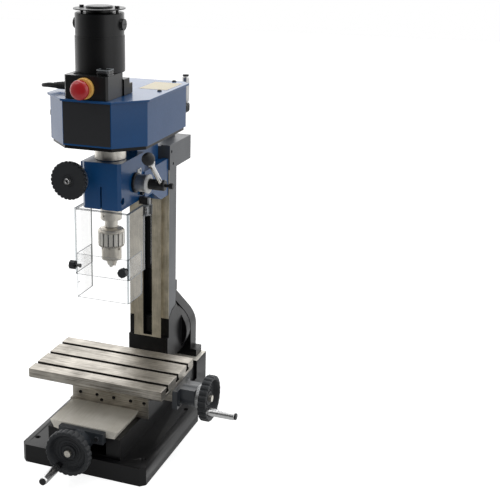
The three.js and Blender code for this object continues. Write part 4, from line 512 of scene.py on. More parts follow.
def rounded_outline(width: float, height: float, radius: float, steps: int = 4) -> list[tuple[float, float]]:
    """Draws a rectangle with round corners about its own middle.

    Args:
        width: along X.
        height: along Y.
        radius: of the corners.
        steps: parts of each corner's arc.

    Returns:
        The outline's points in order.
    """
    points = []
    for sx, sy, start in ((1, 1, 0), (-1, 1, 90), (-1, -1, 180), (1, -1, 270)):
        cx, cy = sx * (width / 2 - radius), sy * (height / 2 - radius)
        for i in range(steps + 1):
            turn = math.radians(start + 90 * i / steps)
            points.append((cx + radius * math.cos(turn), cy + radius * math.sin(turn)))
    return points


@dataclass(frozen=True)
class ScrewHead:
    """Head of a screw: its radius, its rim's height, its crown above the rim, and its recess."""

    radius: float
    height: float
    dome: float = 0.0
    recess: Recess = Recess.HEX
    sunk: float = 0.3
    facets: int = 24
    edge_share: float = 0.2
    recess_share: float = 0.5
    floor_share: float = 0.3
    shoulder_share: float = 0.75

    def mesh(self) -> bpy.types.Mesh:
        """Makes the head.

        Returns:
            A closed mesh along +Z that stands on the XY plane, in millimetres.
        """
        radius, height, top = self.radius, self.height, self.height + self.dome
        edge = min(radius, height) * self.edge_share
        hole = 0.0 if self.recess is Recess.NONE else radius * self.recess_share
        profile = [(0, -self.sunk), (radius, -self.sunk), (radius, height - edge), (radius - edge, height)]
        if self.dome:
            profile.append(((radius + hole) / 2, height + self.dome * self.shoulder_share))
        if self.recess is Recess.NONE:
            return lathe_mesh([*profile, (0, top)], self.facets)
        floor = height * self.floor_share
        mesh = lathe_mesh([*profile, (hole, top), (hole, floor), (0, floor)], self.facets)
        self._flatten_recess(mesh, hole)
        return mesh

    def _flatten_recess(self, mesh: bpy.types.Mesh, hole: float) -> None:
        """Draws the round recess in to flat sides.

        Args:
            mesh: the head.
            hole: the recess's radius.
        """
        side = math.radians(360 / self.recess.value)
        nearly_all = 1.01
        for vertex in mesh.vertices:
            if 0 < math.hypot(vertex.co.x, vertex.co.y) <= hole * nearly_all:
                turn = math.atan2(vertex.co.y, vertex.co.x) % side - side / 2
                vertex.co.xy = Vector(vertex.co.xy) * (math.cos(side / 2) / math.cos(turn))


BRACKET_BOLT = ScrewHead(3.6, 0.8)
GIB_SCREW = ScrewHead(2.5, 2.0)
BLOCK_SCREW = ScrewHead(2.6, 2.4)
POINTER_SCREW = ScrewHead(1.8, 0.9, 0.3, Recess.NONE)
LID_SCREW = ScrewHead(3.7, 1.2, 1.2)
BOX_SCREW = ScrewHead(3.4, 0.8, 0.9)


def text_mesh(words: str, height: float, lift: float = 0.06) -> bpy.types.Mesh:
    """Makes plain raised figures on the XY plane, centred on the origin.

    Args:
        words: the figures.
        height: of the type, in millimetres.
        lift: how far they stand off the face.

    Returns:
        The figures as a mesh.
    """
    curve = bpy.data.curves.new("figures", "FONT")
    curve.body = words
    curve.size = height
    curve.align_x, curve.align_y = "CENTER", "CENTER"
    curve.extrude = lift
    curve.resolution_u = 2
    holder = bpy.data.objects.new("figures", curve)
    bpy.context.scene.collection.objects.link(holder)
    found = holder.evaluated_get(bpy.context.evaluated_depsgraph_get())
    mesh = bpy.data.meshes.new_from_object(found)
    bpy.data.objects.remove(holder)
    bpy.data.curves.remove(curve)
    return mesh


def smooth_route(points: Sequence[Vector], steps: int) -> list[Vector]:
    """Runs a centripetal Catmull-Rom curve through points.

    Args:
        points: the curve's points in order.
        steps: parts between two neighbours.

    Returns:
        The points of the route, ends included.
    """
    ends = [points[0] * 2 - points[1], *points, points[-1] * 2 - points[-2]]
    route = []
    for p0, p1, p2, p3 in zip(ends, ends[1:], ends[2:], ends[3:]):
        knots = [0.0]
        for a, b in ((p0, p1), (p1, p2), (p2, p3)):
            knots.append(knots[-1] + math.sqrt((b - a).length))
        t0, t1, t2, t3 = knots
        for i in range(steps):
            t = t1 + (t2 - t1) * i / steps
            a1 = p0.lerp(p1, (t - t0) / (t1 - t0))
            a2 = p1.lerp(p2, (t - t1) / (t2 - t1))
            a3 = p2.lerp(p3, (t - t2) / (t3 - t2))
            b1 = a1.lerp(a2, (t - t0) / (t2 - t0))
            b2 = a2.lerp(a3, (t - t1) / (t3 - t1))
            route.append(b1.lerp(b2, (t - t1) / (t2 - t1)))
    return route + [points[-1].copy()]


def tube_mesh(route: Sequence[Vector], radius: float, facets: int) -> bpy.types.Mesh:
    """Makes a round tube along a route.

    Args:
        route: the points of its middle line.
        radius: of the tube.
        facets: flat strips round it.

    Returns:
        A mesh closed at both ends, in millimetres.
    """
    shape = bmesh.new()
    rings = []
    for i, point in enumerate(route):
        ahead = (route[min(i + 1, len(route) - 1)] - route[max(i - 1, 0)]).normalized()
        side = ahead.cross(Vector((0, 0, 1))).normalized()
        up = side.cross(ahead)
        ring = []
        for k in range(facets):
            turn = 2 * math.pi * k / facets
            ring.append(shape.verts.new(point + radius * (side * math.cos(turn) + up * math.sin(turn))))
        rings.append(ring)
    for a, b in zip(rings, rings[1:]):
        for k in range(facets):
            shape.faces.new((a[k], a[(k + 1) % facets], b[(k + 1) % facets], b[k]))
    for ring in (rings[0], rings[-1]):
        shape.faces.new(ring)
    bmesh.ops.recalc_face_normals(shape, faces=shape.faces)
    return as_mesh(shape)


def repeat_tree(pattern: Pattern) -> bpy.types.NodeTree:
    """Builds the Geometry Nodes tree that repeats a part, or finds the one already built.

    Args:
        pattern: round a ring, where one part in every few is stretched along the axis, or along a row.

    Returns:
        A tree whose inputs are the part, the count, the sizes and the finish.
    """
    found = bpy.data.node_groups.get(pattern.value)
    if found:
        return found
    tree = bpy.data.node_groups.new(pattern.value, "GeometryNodeTree")
    sockets = [("Part", "NodeSocketObject"), ("Count", "NodeSocketInt"), ("Finish", "NodeSocketMaterial")]
    if pattern is Pattern.RING:
        sockets += [("Radius", "NodeSocketFloat"), ("Long Every", "NodeSocketInt"),
                    ("Long Stretch", "NodeSocketFloat")]
    else:
        sockets += [("Step", "NodeSocketVector")]
    for name, kind in sockets:
        tree.interface.new_socket(name, in_out="INPUT", socket_type=kind)
    tree.interface.new_socket("Geometry", in_out="OUTPUT", socket_type="NodeSocketGeometry")
    given = add_node(tree, "NodeGroupInput")
    part = add_node(tree, "GeometryNodeObjectInfo", {"Object": (given, "Part")})
    if pattern is Pattern.RING:
        line = add_node(tree, "GeometryNodeMeshCircle", {
            "Vertices": (given, "Count"), "Radius": (given, "Radius")})
        where = add_node(tree, "GeometryNodeInputPosition")
        turned = add_node(tree, "FunctionNodeAlignRotationToVector", {"Vector": (where, "Position")},
                          axis="X", pivot_axis="Z")
        order = add_node(tree, "GeometryNodeInputIndex")
        left = add_node(tree, "ShaderNodeMath", {0: (order, "Index"), 1: (given, "Long Every")},
                        operation="MODULO")
        first = add_node(tree, "ShaderNodeMath", {0: (left, 0), 1: 0.5}, operation="LESS_THAN")
        stretch = add_node(tree, "ShaderNodeMapRange", {
            "Value": (first, 0), "To Min": 1.0, "To Max": (given, "Long Stretch")})
        size = add_node(tree, "ShaderNodeCombineXYZ", {"X": 1.0, "Y": 1.0, "Z": (stretch, "Result")})
        copies = add_node(tree, "GeometryNodeInstanceOnPoints", {
            "Points": (line, "Mesh"), "Instance": (part, "Geometry"), "Rotation": (turned, "Rotation"),
            "Scale": (size, "Vector")})
    else:
        line = add_node(tree, "GeometryNodeMeshLine", {"Count": (given, "Count"), "Offset": (given, "Step")})
        copies = add_node(tree, "GeometryNodeInstanceOnPoints", {
            "Points": (line, "Mesh"), "Instance": (part, "Geometry")})
    real = add_node(tree, "GeometryNodeRealizeInstances", {"Geometry": (copies, "Instances")})
    coated = add_node(tree, "GeometryNodeSetMaterial", {
        "Geometry": (real, "Geometry"), "Material": (given, "Finish")})
    add_node(tree, "NodeGroupOutput", {"Geometry": (coated, "Geometry")})
    return tree


def repeated(pattern: Pattern, part: bpy.types.Mesh, finish: Surface, **values: object) -> bpy.types.Mesh:
    """Repeats a part with Geometry Nodes.

    Args:
        pattern: the tree to use.
        part: the mesh of one part, in millimetres.
        finish: of all the copies.
        **values: the tree's other inputs by name, with _ for a space.

    Returns:
        One plain mesh of all the copies.
    """
    scene = bpy.context.scene
    source = bpy.data.objects.new("part", part)
    carrier = bpy.data.objects.new("carrier", bpy.data.meshes.new("carrier"))
    for thing in (source, carrier):
        scene.collection.objects.link(thing)
    modifier = carrier.modifiers.new("repeat", "NODES")
    tree = repeat_tree(pattern)
    modifier.node_group = tree
    wanted = {"Part": source, "Finish": finish.material()}
    wanted.update({name.replace("_", " "): value for name, value in values.items()})
    for item in tree.interface.items_tree:
        if item.in_out == "INPUT" and item.name in wanted:
            modifier[item.identifier] = wanted[item.name]
    found = carrier.evaluated_get(bpy.context.evaluated_depsgraph_get())
    mesh = bpy.data.meshes.new_from_object(found)
    carrier.modifiers.remove(modifier)
    for thing in (source, carrier):
        bpy.data.objects.remove(thing)
    return mesh


def alike_ring(part: bpy.types.Mesh, finish: Surface, count: int, radius: float) -> bpy.types.Mesh:
    """Repeats a part round a ring, with no copy longer than another."""
    return repeated(Pattern.RING, part, finish, Count=count, Radius=radius, Long_Every=count,
                    Long_Stretch=1.0)


@dataclass(frozen=True)
class Graduation:
    """Ring of filled marks on a drum, some of them longer. The marks start on the XY plane."""

    count: int
    radius: float
    length: float
    width: float = 0.44
    long_every: int = 5
    long_stretch: float = 1.7
    sunk: float = 0.3
    proud: float = 0.05

    def mesh(self) -> bpy.types.Mesh:
        """Makes the marks as one mesh, in millimetres."""
        mark = bar_mesh((-self.sunk, -self.width / 2, 0), (self.proud, self.width / 2, self.length))
        return repeated(Pattern.RING, mark, INK, Count=self.count, Radius=self.radius,
                        Long_Every=self.long_every, Long_Stretch=self.long_stretch)


def softened(node: str, width: float) -> bmesh.types.BMesh:
    """Copies a CAD node, with its triangles merged to faces and its hard edges rounded.

    Args:
        node: the CAD node.
        width: of the rounding.

    Returns:
        The working mesh, in millimetres.
    """
    # Corners this near become one, faces this level merge, and edges this sharp are rounded
    weld, flat_degrees, hard_degrees = 0.01, 0.6, 28
    shape = bmesh.new()
    shape.from_mesh(frame["nodes"][node].data)
    bmesh.ops.scale(shape, vec=(1 / MM,) * 3, verts=shape.verts)
    bmesh.ops.remove_doubles(shape, verts=shape.verts, dist=weld)
    bmesh.ops.dissolve_limit(shape, angle_limit=math.radians(flat_degrees), verts=shape.verts,
                             edges=shape.edges, use_dissolve_boundaries=False)
    hard = [e for e in shape.edges if e.is_manifold and e.calc_face_angle(0) > math.radians(hard_degrees)
            and e.calc_length() > 2 * width]
    bmesh.ops.bevel(shape, geom=hard, offset=width, offset_type="OFFSET", segments=2, profile=0.6,
                    affect="EDGES", clamp_overlap=True, material=-1)
    return shape


class Piece:
    """One finished piece: gathers its shapes in millimetres, then rides on a body."""

    def __init__(self, name: str, node: str, replaces: Sequence[str] = ()) -> None:
        """Starts a piece.

        Args:
            name: of the finished object.
            node: the CAD node whose body it rides on.
            replaces: the CAD nodes that it stands for.
        """
        self.name = name
        self.node = node
        self.replaces = replaces
        self.shape = bmesh.new()
        self.finishes: list[Surface] = []

    def _index(self, finish: Surface) -> int:
        """Gives a finish's place in the piece's list, and adds it if it's new there.

        Args:
            finish: to look up.

        Returns:
            The place.
        """
        if finish not in self.finishes:
            self.finishes.append(finish)
        return self.finishes.index(finish)

    def add(self, mesh: bpy.types.Mesh, at: Matrix, finish: Surface) -> "Piece":
        """Adds a shape.

        Args:
            mesh: the shape, in millimetres. It's used up.
            at: its place.
            finish: of all its faces.

        Returns:
            The piece, so that calls can follow each other.
        """
        mesh.transform(at)
        start = len(self.shape.faces)
        self.shape.from_mesh(mesh)
        self.shape.faces.ensure_lookup_table()
        index = self._index(finish)
        for face in self.shape.faces[start:]:
            face.material_index = index
        bpy.data.meshes.remove(mesh)
        return self

    def lathe(
        self, profile: Profile, at: Matrix, finish: Surface, facets: int = 64, lobes: Lobes | None = None
    ) -> "Piece":
        """Adds a turned shape and returns the piece."""
        return self.add(lathe_mesh(profile, facets, lobes), at, finish)

    def painted_shade_disc(self, radius: float, span: tuple[float, float], at: Matrix, facets: int) -> "Piece":
        """Adds a thin disc of painted shade between two heights, for the dark inside of a hole, and returns
        the piece.
        """
        low, high = span
        return self.lathe([(0, low), (radius, low), (radius, high), (0, high)], at, SHADOW_HOLE, facets)

    def screw(self, head: ScrewHead, facing: Facing, at: Point) -> "Piece":
        """Adds a blackened screw's head and returns the piece."""
        return self.add(head.mesh(), placed(facing, at), BLACK_STEEL)

    def take(self, node: str, width: float, finish: Surface, region: Region | None = None) -> "Piece":
        """Adds a CAD node's own shape with its edges rounded.

        Args:
            node: the CAD node.
            width: of the rounding.
            finish: of its faces where there is no rule.
            region: gives a face's finish from its middle and its normal.

        Returns:
            The piece.
        """
        shape = softened(node, width)
        shape.normal_update()
        for face in shape.faces:
            chosen = region(face.calc_center_median(), face.normal) if region else finish
            face.material_index = self._index(chosen)
        mesh = as_mesh(shape)
        self.shape.from_mesh(mesh)
        bpy.data.meshes.remove(mesh)
        return self

    def done(self, smooth_angle: float = 38.0) -> bpy.types.Object:
        """Turns the piece into an object in metres that rides on its body.

        Args:
            smooth_angle: edges sharper than this stay crisp, in degrees.

        Returns:
            The finished object.
        """
        mesh = as_mesh(self.shape)
        mesh.transform(Matrix.Scale(MM, 4))
        mesh.name = self.name
        for finish in self.finishes:
            mesh.materials.append(finish.material())
        mesh.shade_smooth()
        mesh.set_sharp_from_angle(angle=math.radians(smooth_angle))
        made = bpy.data.objects.new(self.name, mesh)
        bpy.context.scene.collection.objects.link(made)
        weights = made.modifiers.new("weights", "WEIGHTED_NORMAL")
        weights.keep_sharp = True
        found = made.evaluated_get(bpy.context.evaluated_depsgraph_get())
        weighted = bpy.data.meshes.new_from_object(found)
        made.modifiers.remove(weights)
        made.data = weighted
        bpy.data.meshes.remove(mesh)
        weighted.name = self.name
        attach(made, BODY_OF[self.node])
        if self.replaces:
            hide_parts(*self.replaces)
        LOG.info("%s: %d faces on %s", self.name, len(weighted.polygons), BODY_OF[self.node])
        return made


def finished(node: str) -> Piece:
    """Starts an empty piece that stands for one CAD node."""
    return Piece(node + "_finished", node, (node,))


def stand_in(node: str, width: float, finish: Surface, region: Region | None = None) -> Piece:
    """Starts a piece that stands for one CAD node and has its shape with rounded edges."""
    return finished(node).take(node, width, finish, region)


def dress(nodes: Iterable[str], finish: Surface) -> None:
    """Gives CAD nodes that stay as they are a finish.

    Args:
        nodes: their names.
        finish: of all their faces.
    """
    for name in nodes:
        mesh = frame["nodes"][name].data
        mesh.materials.clear()
        mesh.materials.append(finish.material())
        LOG.info("%s keeps its solid", name)


@dataclass
class BaseUnit:
    """Base casting with its ways, the Y screw's bracket, the tilting foot's bracket and its bolt."""

    way_low: float = 69.3
    way_rear: float = 126.0
    seat_low: float = 60.0
    seat_front: float = 220.0
    level_share: float = 0.9
    bracket_bolt_x: float = 29.0
    bracket_bolt_z: float = 70.25
    bracket_front: float = -121.7
    bolt_head: float = 3.0

    def build(self) -> None:
        """Builds the pieces that stay still."""
        stand_in("base_casting", 1.2, BLACK_ENAMEL, self._casting_finish).done()
        bracket = stand_in("y_bearing_bracket", 0.9, DARK_GREY_ENAMEL)
        for side in (-1, 1):
            bracket.screw(BRACKET_BOLT, Facing.FRONT, (
                side * self.bracket_bolt_x, self.bracket_front - self.bolt_head, self.bracket_bolt_z))
        bracket.done()
        stand_in("tilt_bracket", 1.5, BLACK_ENAMEL).done()
        stand_in("pivot_bolt", 0.4, TURNED_STEEL).done()

    def _casting_finish(self, middle: Vector, normal: Vector) -> Surface:
        """Gives a face of the casting its finish: ways and rear seat are ground, the rest is enamelled.

        Args:
            middle: of the face.
            normal: of the face.

        Returns:
            The finish.
        """
        way = middle.z > self.way_low and middle.y < self.way_rear
        seat = normal.z > self.level_share and middle.z > self.seat_low and middle.y > self.seat_front
        # The ways and the seat take the paler ground iron, whose paleness is a painted sheen
        return GROUND_WAY_PAINTED_SHEEN if way or seat else BLACK_ENAMEL


@dataclass
class Handwheel:
    """A lobed wheel with its dial, screw and revolving handle, on one bearing face.

    Heights run outwards along the screw from that face. handle_turn is in degrees round the screw.
    """

    prefix: str
    facing: Facing
    face: Point
    handle_turn: float
    has_dial: bool = True
    wheel_from: float = 11.6
    thickness: float = 14.0
    dish: float = 9.0
    bore: float = 5.35
    rim: float = 38.5
    lobes: Lobes = Lobes(24, 1.9, 36.0)
    back_groove: tuple[float, float] = (20.0, 33.0)
    back_depth: float = 2.5
    dish_rings: tuple[tuple[float, float], ...] = ((26.0, 0.8), (20.4, 0.7), (15.4, 1.0))
    hub: float = 12.0
    hub_rise: float = 3.0
    dial_radius: float = 20.0
    dial_length: float = 11.0
    dial_bore: float = 5.3
    mark_length: float = 2.4
    mark_from: float = 0.9
    divisions: int = 40
    figures: int = 8
    figure_height: float = 3.2
    figure_from: float = 7.2
    orbit: float = 31.0
    handle_length: float = 47.5
    stud: float = 3.0
    neck: float = 5.2
    barrel: float = 6.6
    nut_height: float = 4.0
    # Painted shade: a dark disc for the hole in the middle of the screw's nut
    shade_disc_radius: float = 1.9
    shade_disc_span: tuple[float, float] = (0.04, 0.1)

    @property
    def top(self) -> float:
        """Height of the wheel's outer face."""
        return self.wheel_from + self.thickness

    @property
    def floor(self) -> float:
        """Height of the dish's floor."""
        return self.top - self.dish

    @property
    def at(self) -> Matrix:
        """Place of the screw's axis on the bearing face."""
        return placed(self.facing, self.face)

    @property
    def handle_at(self) -> Matrix:
        """Place of the handle's axis, level with the bearing face."""
        spin = Matrix.Rotation(math.radians(self.handle_turn), 4, "Z")
        return self.at @ spin @ Matrix.Translation((self.orbit, 0, 0))

    def build(self) -> None:
        """Builds the wheel, its handle, its dial and its screw."""
        self._wheel()
        self._handle()
        if self.has_dial:
            self._dial()
        self._screw()

    def _wheel(self) -> None:
        """Builds the moulded wheel: lobed rim, stepped dish, hub, and the stud that carries the handle."""
        low, top, floor, rim, hub = self.wheel_from, self.top, self.floor, self.rim, self.hub
        groove_in, groove_out = self.back_groove
        back = [(self.bore, low), (groove_in, low), (groove_in + 0.3, low + self.back_depth),
                (groove_out - 0.3, low + self.back_depth), (groove_out, low)]
        grip = [(rim - 1.5, low), (rim - 0.3, low + 1.2), (rim, low + 2.4), (rim, top - 2.4),
                (rim - 0.4, top - 1.1), (rim - 1.5, top - 0.2), (rim - 2.9, top)]
        dish = [(rim - 5.1, top), (rim - 6.3, top - 0.5), (rim - 7.1, top - 1.6), (rim - 9.5, floor + 1.0),
                (rim - 10.3, floor)]
        for radius, rise in self.dish_rings:
            dish += [(radius + 0.8, floor), (radius + 0.5, floor + rise), (radius - 0.5, floor + rise),
                     (radius - 0.8, floor)]
        boss = [(hub, floor), (hub - 0.2, floor + 2.6), (hub - 0.7, floor + self.hub_rise),
                (hub - 3.8, floor + self.hub_rise), (hub - 4.3, floor + 2.2), (self.bore, floor + 2.2),
                (self.bore, low)]
        wheel = finished(self.prefix + "_handwheel")
        wheel.lathe(back + grip + dish + boss, self.at, MOULDED_BLACK, 192, self.lobes)
        end = top + 2 * GAP + self.handle_length
        stud, neck, cap = self.stud, self.neck, self.neck + 0.4
        post = [(0, floor - 0.5), (neck, floor - 0.5), (neck, top), (stud, top), (stud, end), (neck, end),
                (cap, end + 0.4), (cap, end + 2.2), (cap - 0.7, end + 2.9), (0, end + 3.0)]
        wheel.lathe(post, self.handle_at, BLACK_STEEL, 40)
        wheel.done()

    def _handle(self) -> None:
        """Builds the turned handle, its neck and its barrel, which turns on the stud."""
        start, bore = self.top + GAP, self.stud + GAP
        end = start + self.handle_length
        neck, barrel = self.neck, self.barrel
        outline = [(bore, start), (neck - 0.2, start), (neck, start + 0.5), (neck, start + 2.2),
                   (neck + 0.5, start + 3.2), (barrel - 0.3, start + 5.0), (barrel, start + 9.0),
                   (barrel, end - 3.0), (barrel - 0.3, end - 1.4), (barrel - 1.0, end - 0.2), (neck, end),
                   (bore, end), (bore, start)]
        finished(self.prefix + "_handle").lathe(outline, self.handle_at, BRUSHED_CHROME, 48).done(50.0)

    def _dial(self) -> None:
        """Builds the graduated dial: forty divisions, longer every fifth, with plain figures."""
        radius, bore, low, high = self.dial_radius, self.dial_bore, GAP, GAP + self.dial_length
        ring = [(bore, low), (radius - 0.8, low), (radius, low + 0.8), (radius, high - 0.9),
                (radius - 0.3, high - 0.4), (radius - 0.7, high), (bore, high), (bore, low)]
        dial = finished(self.prefix + "_dial").lathe(ring, self.at, DIAL_SATIN, 80)
        marks = Graduation(self.divisions, radius, self.mark_length)
        dial.add(marks.mesh(), self.at @ Matrix.Translation((0, 0, low + self.mark_from)), INK)
        lift = Matrix.Translation((radius, 0, low + self.figure_from))
        for i in range(self.figures):
            turn = Matrix.Rotation(2 * math.pi * i / self.figures, 4, "Z")
            number = str(i * self.divisions // self.figures)
            dial.add(text_mesh(number, self.figure_height), self.at @ turn @ lift @ STANDING, INK)
        dial.done()

    def _screw(self) -> None:
        """Builds the leadscrew's own shape, with a dark disc of painted shade, for the hole in its nut, that
        lies just under its nut's face.
        """
        nut_end = self.floor + self.hub_rise + GAP + self.nut_height
        low, high = self.shade_disc_span
        screw = stand_in(self.prefix + "_leadscrew", 0.15, TURNED_STEEL)
        screw.painted_shade_disc(self.shade_disc_radius, (nut_end + low, nut_end + high), self.at, 20)
        screw.done()


@dataclass
class CrossSlide:
    """Saddle, its nut, the slotted table and the X screw's bracket."""

    middle_y: float = 5.0
    cheek_share: float = 0.7
    screw_face: float = -22.5
    gib_count: int = 4
    gib_pitch: float = 31.0
    gib_from: tuple[float, float] = (-46.5, 97.0)
    single_screws: tuple[tuple[float, float], ...] = ((71.0, 97.0), (-7.0, 89.0))
    slot_low: float = 129.6
    slot_high: float = 146.4
    slot_half_x: float = 119.0
    slot_half_y: float = 71.0
    end_share: float = 0.5
    bracket_face: float = 132.3
    bracket_bolt_y: float = 24.0
    bracket_bolt_z: float = 104.0

    def build(self) -> None:
        """Builds the cross slide from the bottom up."""
        saddle = stand_in("saddle", 0.4, GROUND_IRON, self._saddle_finish)
        x, z = self.gib_from
        row = repeated(Pattern.ROW, GIB_SCREW.mesh(), BLACK_STEEL, Count=self.gib_count,
                       Step=(self.gib_pitch, 0, 0))
        saddle.add(row, placed(Facing.FRONT, (x, self.screw_face, z)), BLACK_STEEL)
        for x, z in self.single_screws:
            saddle.screw(GIB_SCREW, Facing.FRONT, (x, self.screw_face, z))
        saddle.done()
        stand_in("table", 0.5, GROUND_IRON, self._table_finish).done()
        bracket = stand_in("x_bearing_bracket", 0.9, DARK_GREY_ENAMEL)
        for side in (-1, 1):
            bracket.screw(BRACKET_BOLT, Facing.RIGHT, (
                self.bracket_face, self.middle_y + side * self.bracket_bolt_y, self.bracket_bolt_z))
        bracket.done()
        dress(["cross_nut"], BRONZE)

    def _saddle_finish(self, middle: Vector, normal: Vector) -> Surface:
        """Gives a face of the saddle its finish: enamel where it faces right, ground iron elsewhere."""
        return BLACK_ENAMEL if normal.x > self.cheek_share else GROUND_IRON

    def _table_finish(self, middle: Vector, normal: Vector) -> Surface:
        """Gives a face of the table its finish: darkened iron as painted shade in the slots, ground iron
        elsewhere.

        Args:
            middle: of the face.
            normal: of the face.

        Returns:
            The finish.
        """
        level = self.slot_low < middle.z < self.slot_high
        inside = abs(middle.y - self.middle_y) < self.slot_half_y and abs(middle.x) < self.slot_half_x
        return SLOT_IRON_PAINTED_SHADE if level and inside and abs(normal.x) < self.end_share else GROUND_IRON


@dataclass
class ColumnUnit:
    """Dovetail column on its tilting foot, with the Z screw's block on top."""

    face_y: float = 154.8
    shoulder_y: float = 162.8
    groove_half: float = 8.7
    groove_depth: float = 25.0
    past_face: float = 0.5
    past_shoulder: float = 0.6
    lip_inner: float = 0.2
    lip_outer: float = 8.6
    lip_y: float = 171.0
    lip_thickness: float = 1.2
    lip_edge: float = 0.3
    lip_low: float = 262.0
    lip_high: float = 449.0
    block_side: float = 35.4
    block_screws: tuple[tuple[float, float], ...] = ((170.8, 480.6), (178.8, 457.6))

    def build(self) -> None:
        """Builds the upright pieces."""
        stand_in("column", 0.5, GREY_ENAMEL, self._column_finish).done()
        lips = Piece("column_slot_lips", "column")
        for side in (-1, 1):
            low, high = sorted((side * self.lip_inner, side * self.lip_outer))
            strip = bar_mesh((low, self.lip_y, self.lip_low),
                             (high, self.lip_y + self.lip_thickness, self.lip_high), self.lip_edge)
            lips.add(strip, Matrix.Identity(4), RUBBER)
        lips.done()
        stand_in("column_foot", 1.0, BLACK_ENAMEL).done()
        block = stand_in("column_top_block", 0.5, GREY_ENAMEL)
        for facing, side in ((Facing.RIGHT, 1), (Facing.LEFT, -1)):
            for y, z in self.block_screws:
                block.screw(BLOCK_SCREW, facing, (side * self.block_side, y, z))
        block.done()

    def _column_finish(self, middle: Vector, normal: Vector) -> Surface:
        """Gives a face of the column its finish: black in the groove, milled in front, grey elsewhere.

        Args:
            middle: of the face.
            normal: of the face; not used.

        Returns:
            The finish.
        """
        behind_face = self.face_y + self.past_face < middle.y < self.face_y + self.groove_depth
        if abs(middle.x) < self.groove_half and behind_face:
            return BLACK_ENAMEL
        milled = middle.y < self.shoulder_y + self.past_shoulder
        return MILLED_COLUMN if milled else GREY_ENAMEL


@dataclass
class Head:
    """Head casting on the dovetail, with its pointer, sleeve, nut, locks and gear plate."""

    pointer: Point = (33.5, 42.0, 474.6)
    pointer_size: tuple[float, float] = (14.0, 9.5)
    pointer_corner: float = 1.2
    pointer_thickness: float = 1.2
    pointer_sunk: float = 0.1
    pointer_screw: Point = (0.8, 2.5, 1.0)

    def build(self) -> None:
        """Builds the casting and its small parts."""
        head = stand_in("head_casting", 0.7, BLUE_ENAMEL)
        x, y, z = self.pointer
        plate = plate_mesh(rounded_outline(*self.pointer_size, self.pointer_corner), self.pointer_thickness)
        head.add(plate, placed(Facing.RIGHT, (x - self.pointer_sunk, y, z)), WHITE_RING)
        dx, dy, dz = self.pointer_screw
        head.screw(POINTER_SCREW, Facing.RIGHT, (x + dx, y + dy, z + dz))
        head.done()
        stand_in("upper_sleeve", 0.4, TURNED_STEEL).done()
        stand_in("quill_lock_screw", 0.3, BLACK_STEEL).done()
        stand_in("head_lock_screw", 0.3, BLACK_STEEL).done()
        dress(["z_nut"], BRONZE)
        stand_in("gear_plate", 0.5, BLACK_ENAMEL).done()


@dataclass
class DriveHousing:
    """Sheet housing of the gears and the speed board, with its lid, plate, label and speed knob."""

    front_y: float = -77.6
    lid_top: float = 607.95
    plate: tuple[float, float] = (79.0, 64.0)
    plate_z: float = 571.3
    plate_thickness: float = 0.6
    plate_sunk: float = 0.1
    label: tuple[float, float] = (48.0, 68.0)
    label_at: tuple[float, float] = (54.0, 84.0)
    label_thickness: float = 0.25
    corner: float = 1.0
    lid_screws: tuple[tuple[float, float], ...] = ((71.0, 37.3), (58.0, 132.0), (-71.0, 37.3), (-58.0, 132.0))

    def build(self) -> None:
        """Builds the housing and dresses it."""
        stand_in("gear_housing", 0.6, BLUE_ENAMEL).done()
        plate = Piece("front_plate", "gear_housing")
        plate.add(plate_mesh(rounded_outline(*self.plate, self.corner), self.plate_thickness),
                  placed(Facing.FRONT, (0, self.front_y + self.plate_sunk, self.plate_z)), PLATE_FILM)
        plate.done()
        lid = stand_in("housing_lid", 0.5, BLUE_ENAMEL)
        for x, y in self.lid_screws:
            lid.screw(LID_SCREW, Facing.UP, (x, y, self.lid_top))
        lid.done()
        label = Piece("lid_label", "housing_lid")
        label.add(plate_mesh(rounded_outline(*self.label, self.corner), self.label_thickness),
                  placed(Facing.UP, (*self.label_at, self.lid_top)), LABEL_FILM)
        label.done()
        stand_in("speed_knob", 0.5, MOULDED_BLACK).done()
        dress(["speed_board"], CIRCUIT_LACQUER)


@dataclass
class ControlBox:
    """Box of the controls, with the rocker in its clear surround."""

    top: float = 644.3
    screw_at: tuple[float, float] = (-23.7, -63.4)
    cover_at: tuple[float, float] = (26.5, -65.5)
    cover: Point = (20.0, 20.5, 9.0)
    cover_wall: float = 0.8
    cover_corner: float = 2.5
    cover_sunk: float = 0.2
    edge_proud: float = 0.5
    edge_wall: float = 1.3
    edge_height: float = 0.9

    def build(self) -> None:
        """Builds the box with its screw and surround, and the rocker."""
        box = stand_in("control_box", 0.9, BOX_BLACK)
        box.screw(BOX_SCREW, Facing.UP, (*self.screw_at, self.top))
        width, depth, height = self.cover
        proud = self.edge_proud
        box.add(self._surround_mesh(width, depth, self.cover_wall, height),
                placed(Facing.UP, (*self.cover_at, self.top)), CLEAR_SHEET)
        box.add(self._surround_mesh(width + proud, depth + proud, self.edge_wall, self.edge_height),
                placed(Facing.UP, (*self.cover_at, self.top + height - proud)), SAWN_EDGE)
        box.done()
        stand_in("power_switch", 0.4, MOULDED_BLACK).done()

    def _surround_mesh(self, width: float, depth: float, wall: float, height: float) -> bpy.types.Mesh:
        """Makes a low wall of round-cornered outline, open in the middle.

        Args:
            width: along X.
            depth: along Y.
            wall: its thickness.
            height: above the XY plane.

        Returns:
            A closed mesh, in millimetres.
        """
        shape = bmesh.new()
        low = -self.cover_sunk
        outer = rounded_outline(width, depth, self.cover_corner)
        inner = rounded_outline(width - 2 * wall, depth - 2 * wall, self.cover_corner - wall)
        loops = []
        for z, outline in ((low, outer), (height, outer), (height, inner), (low, inner)):
            loops.append([shape.verts.new((x, y, z)) for x, y in outline])
        for a, b in zip(loops, loops[1:] + loops[:1]):
            for i in range(len(a)):
                j = (i + 1) % len(a)
                shape.faces.new((a[i], a[j], b[j], b[i]))
        bmesh.ops.recalc_face_normals(shape, faces=shape.faces)
        return as_mesh(shape)


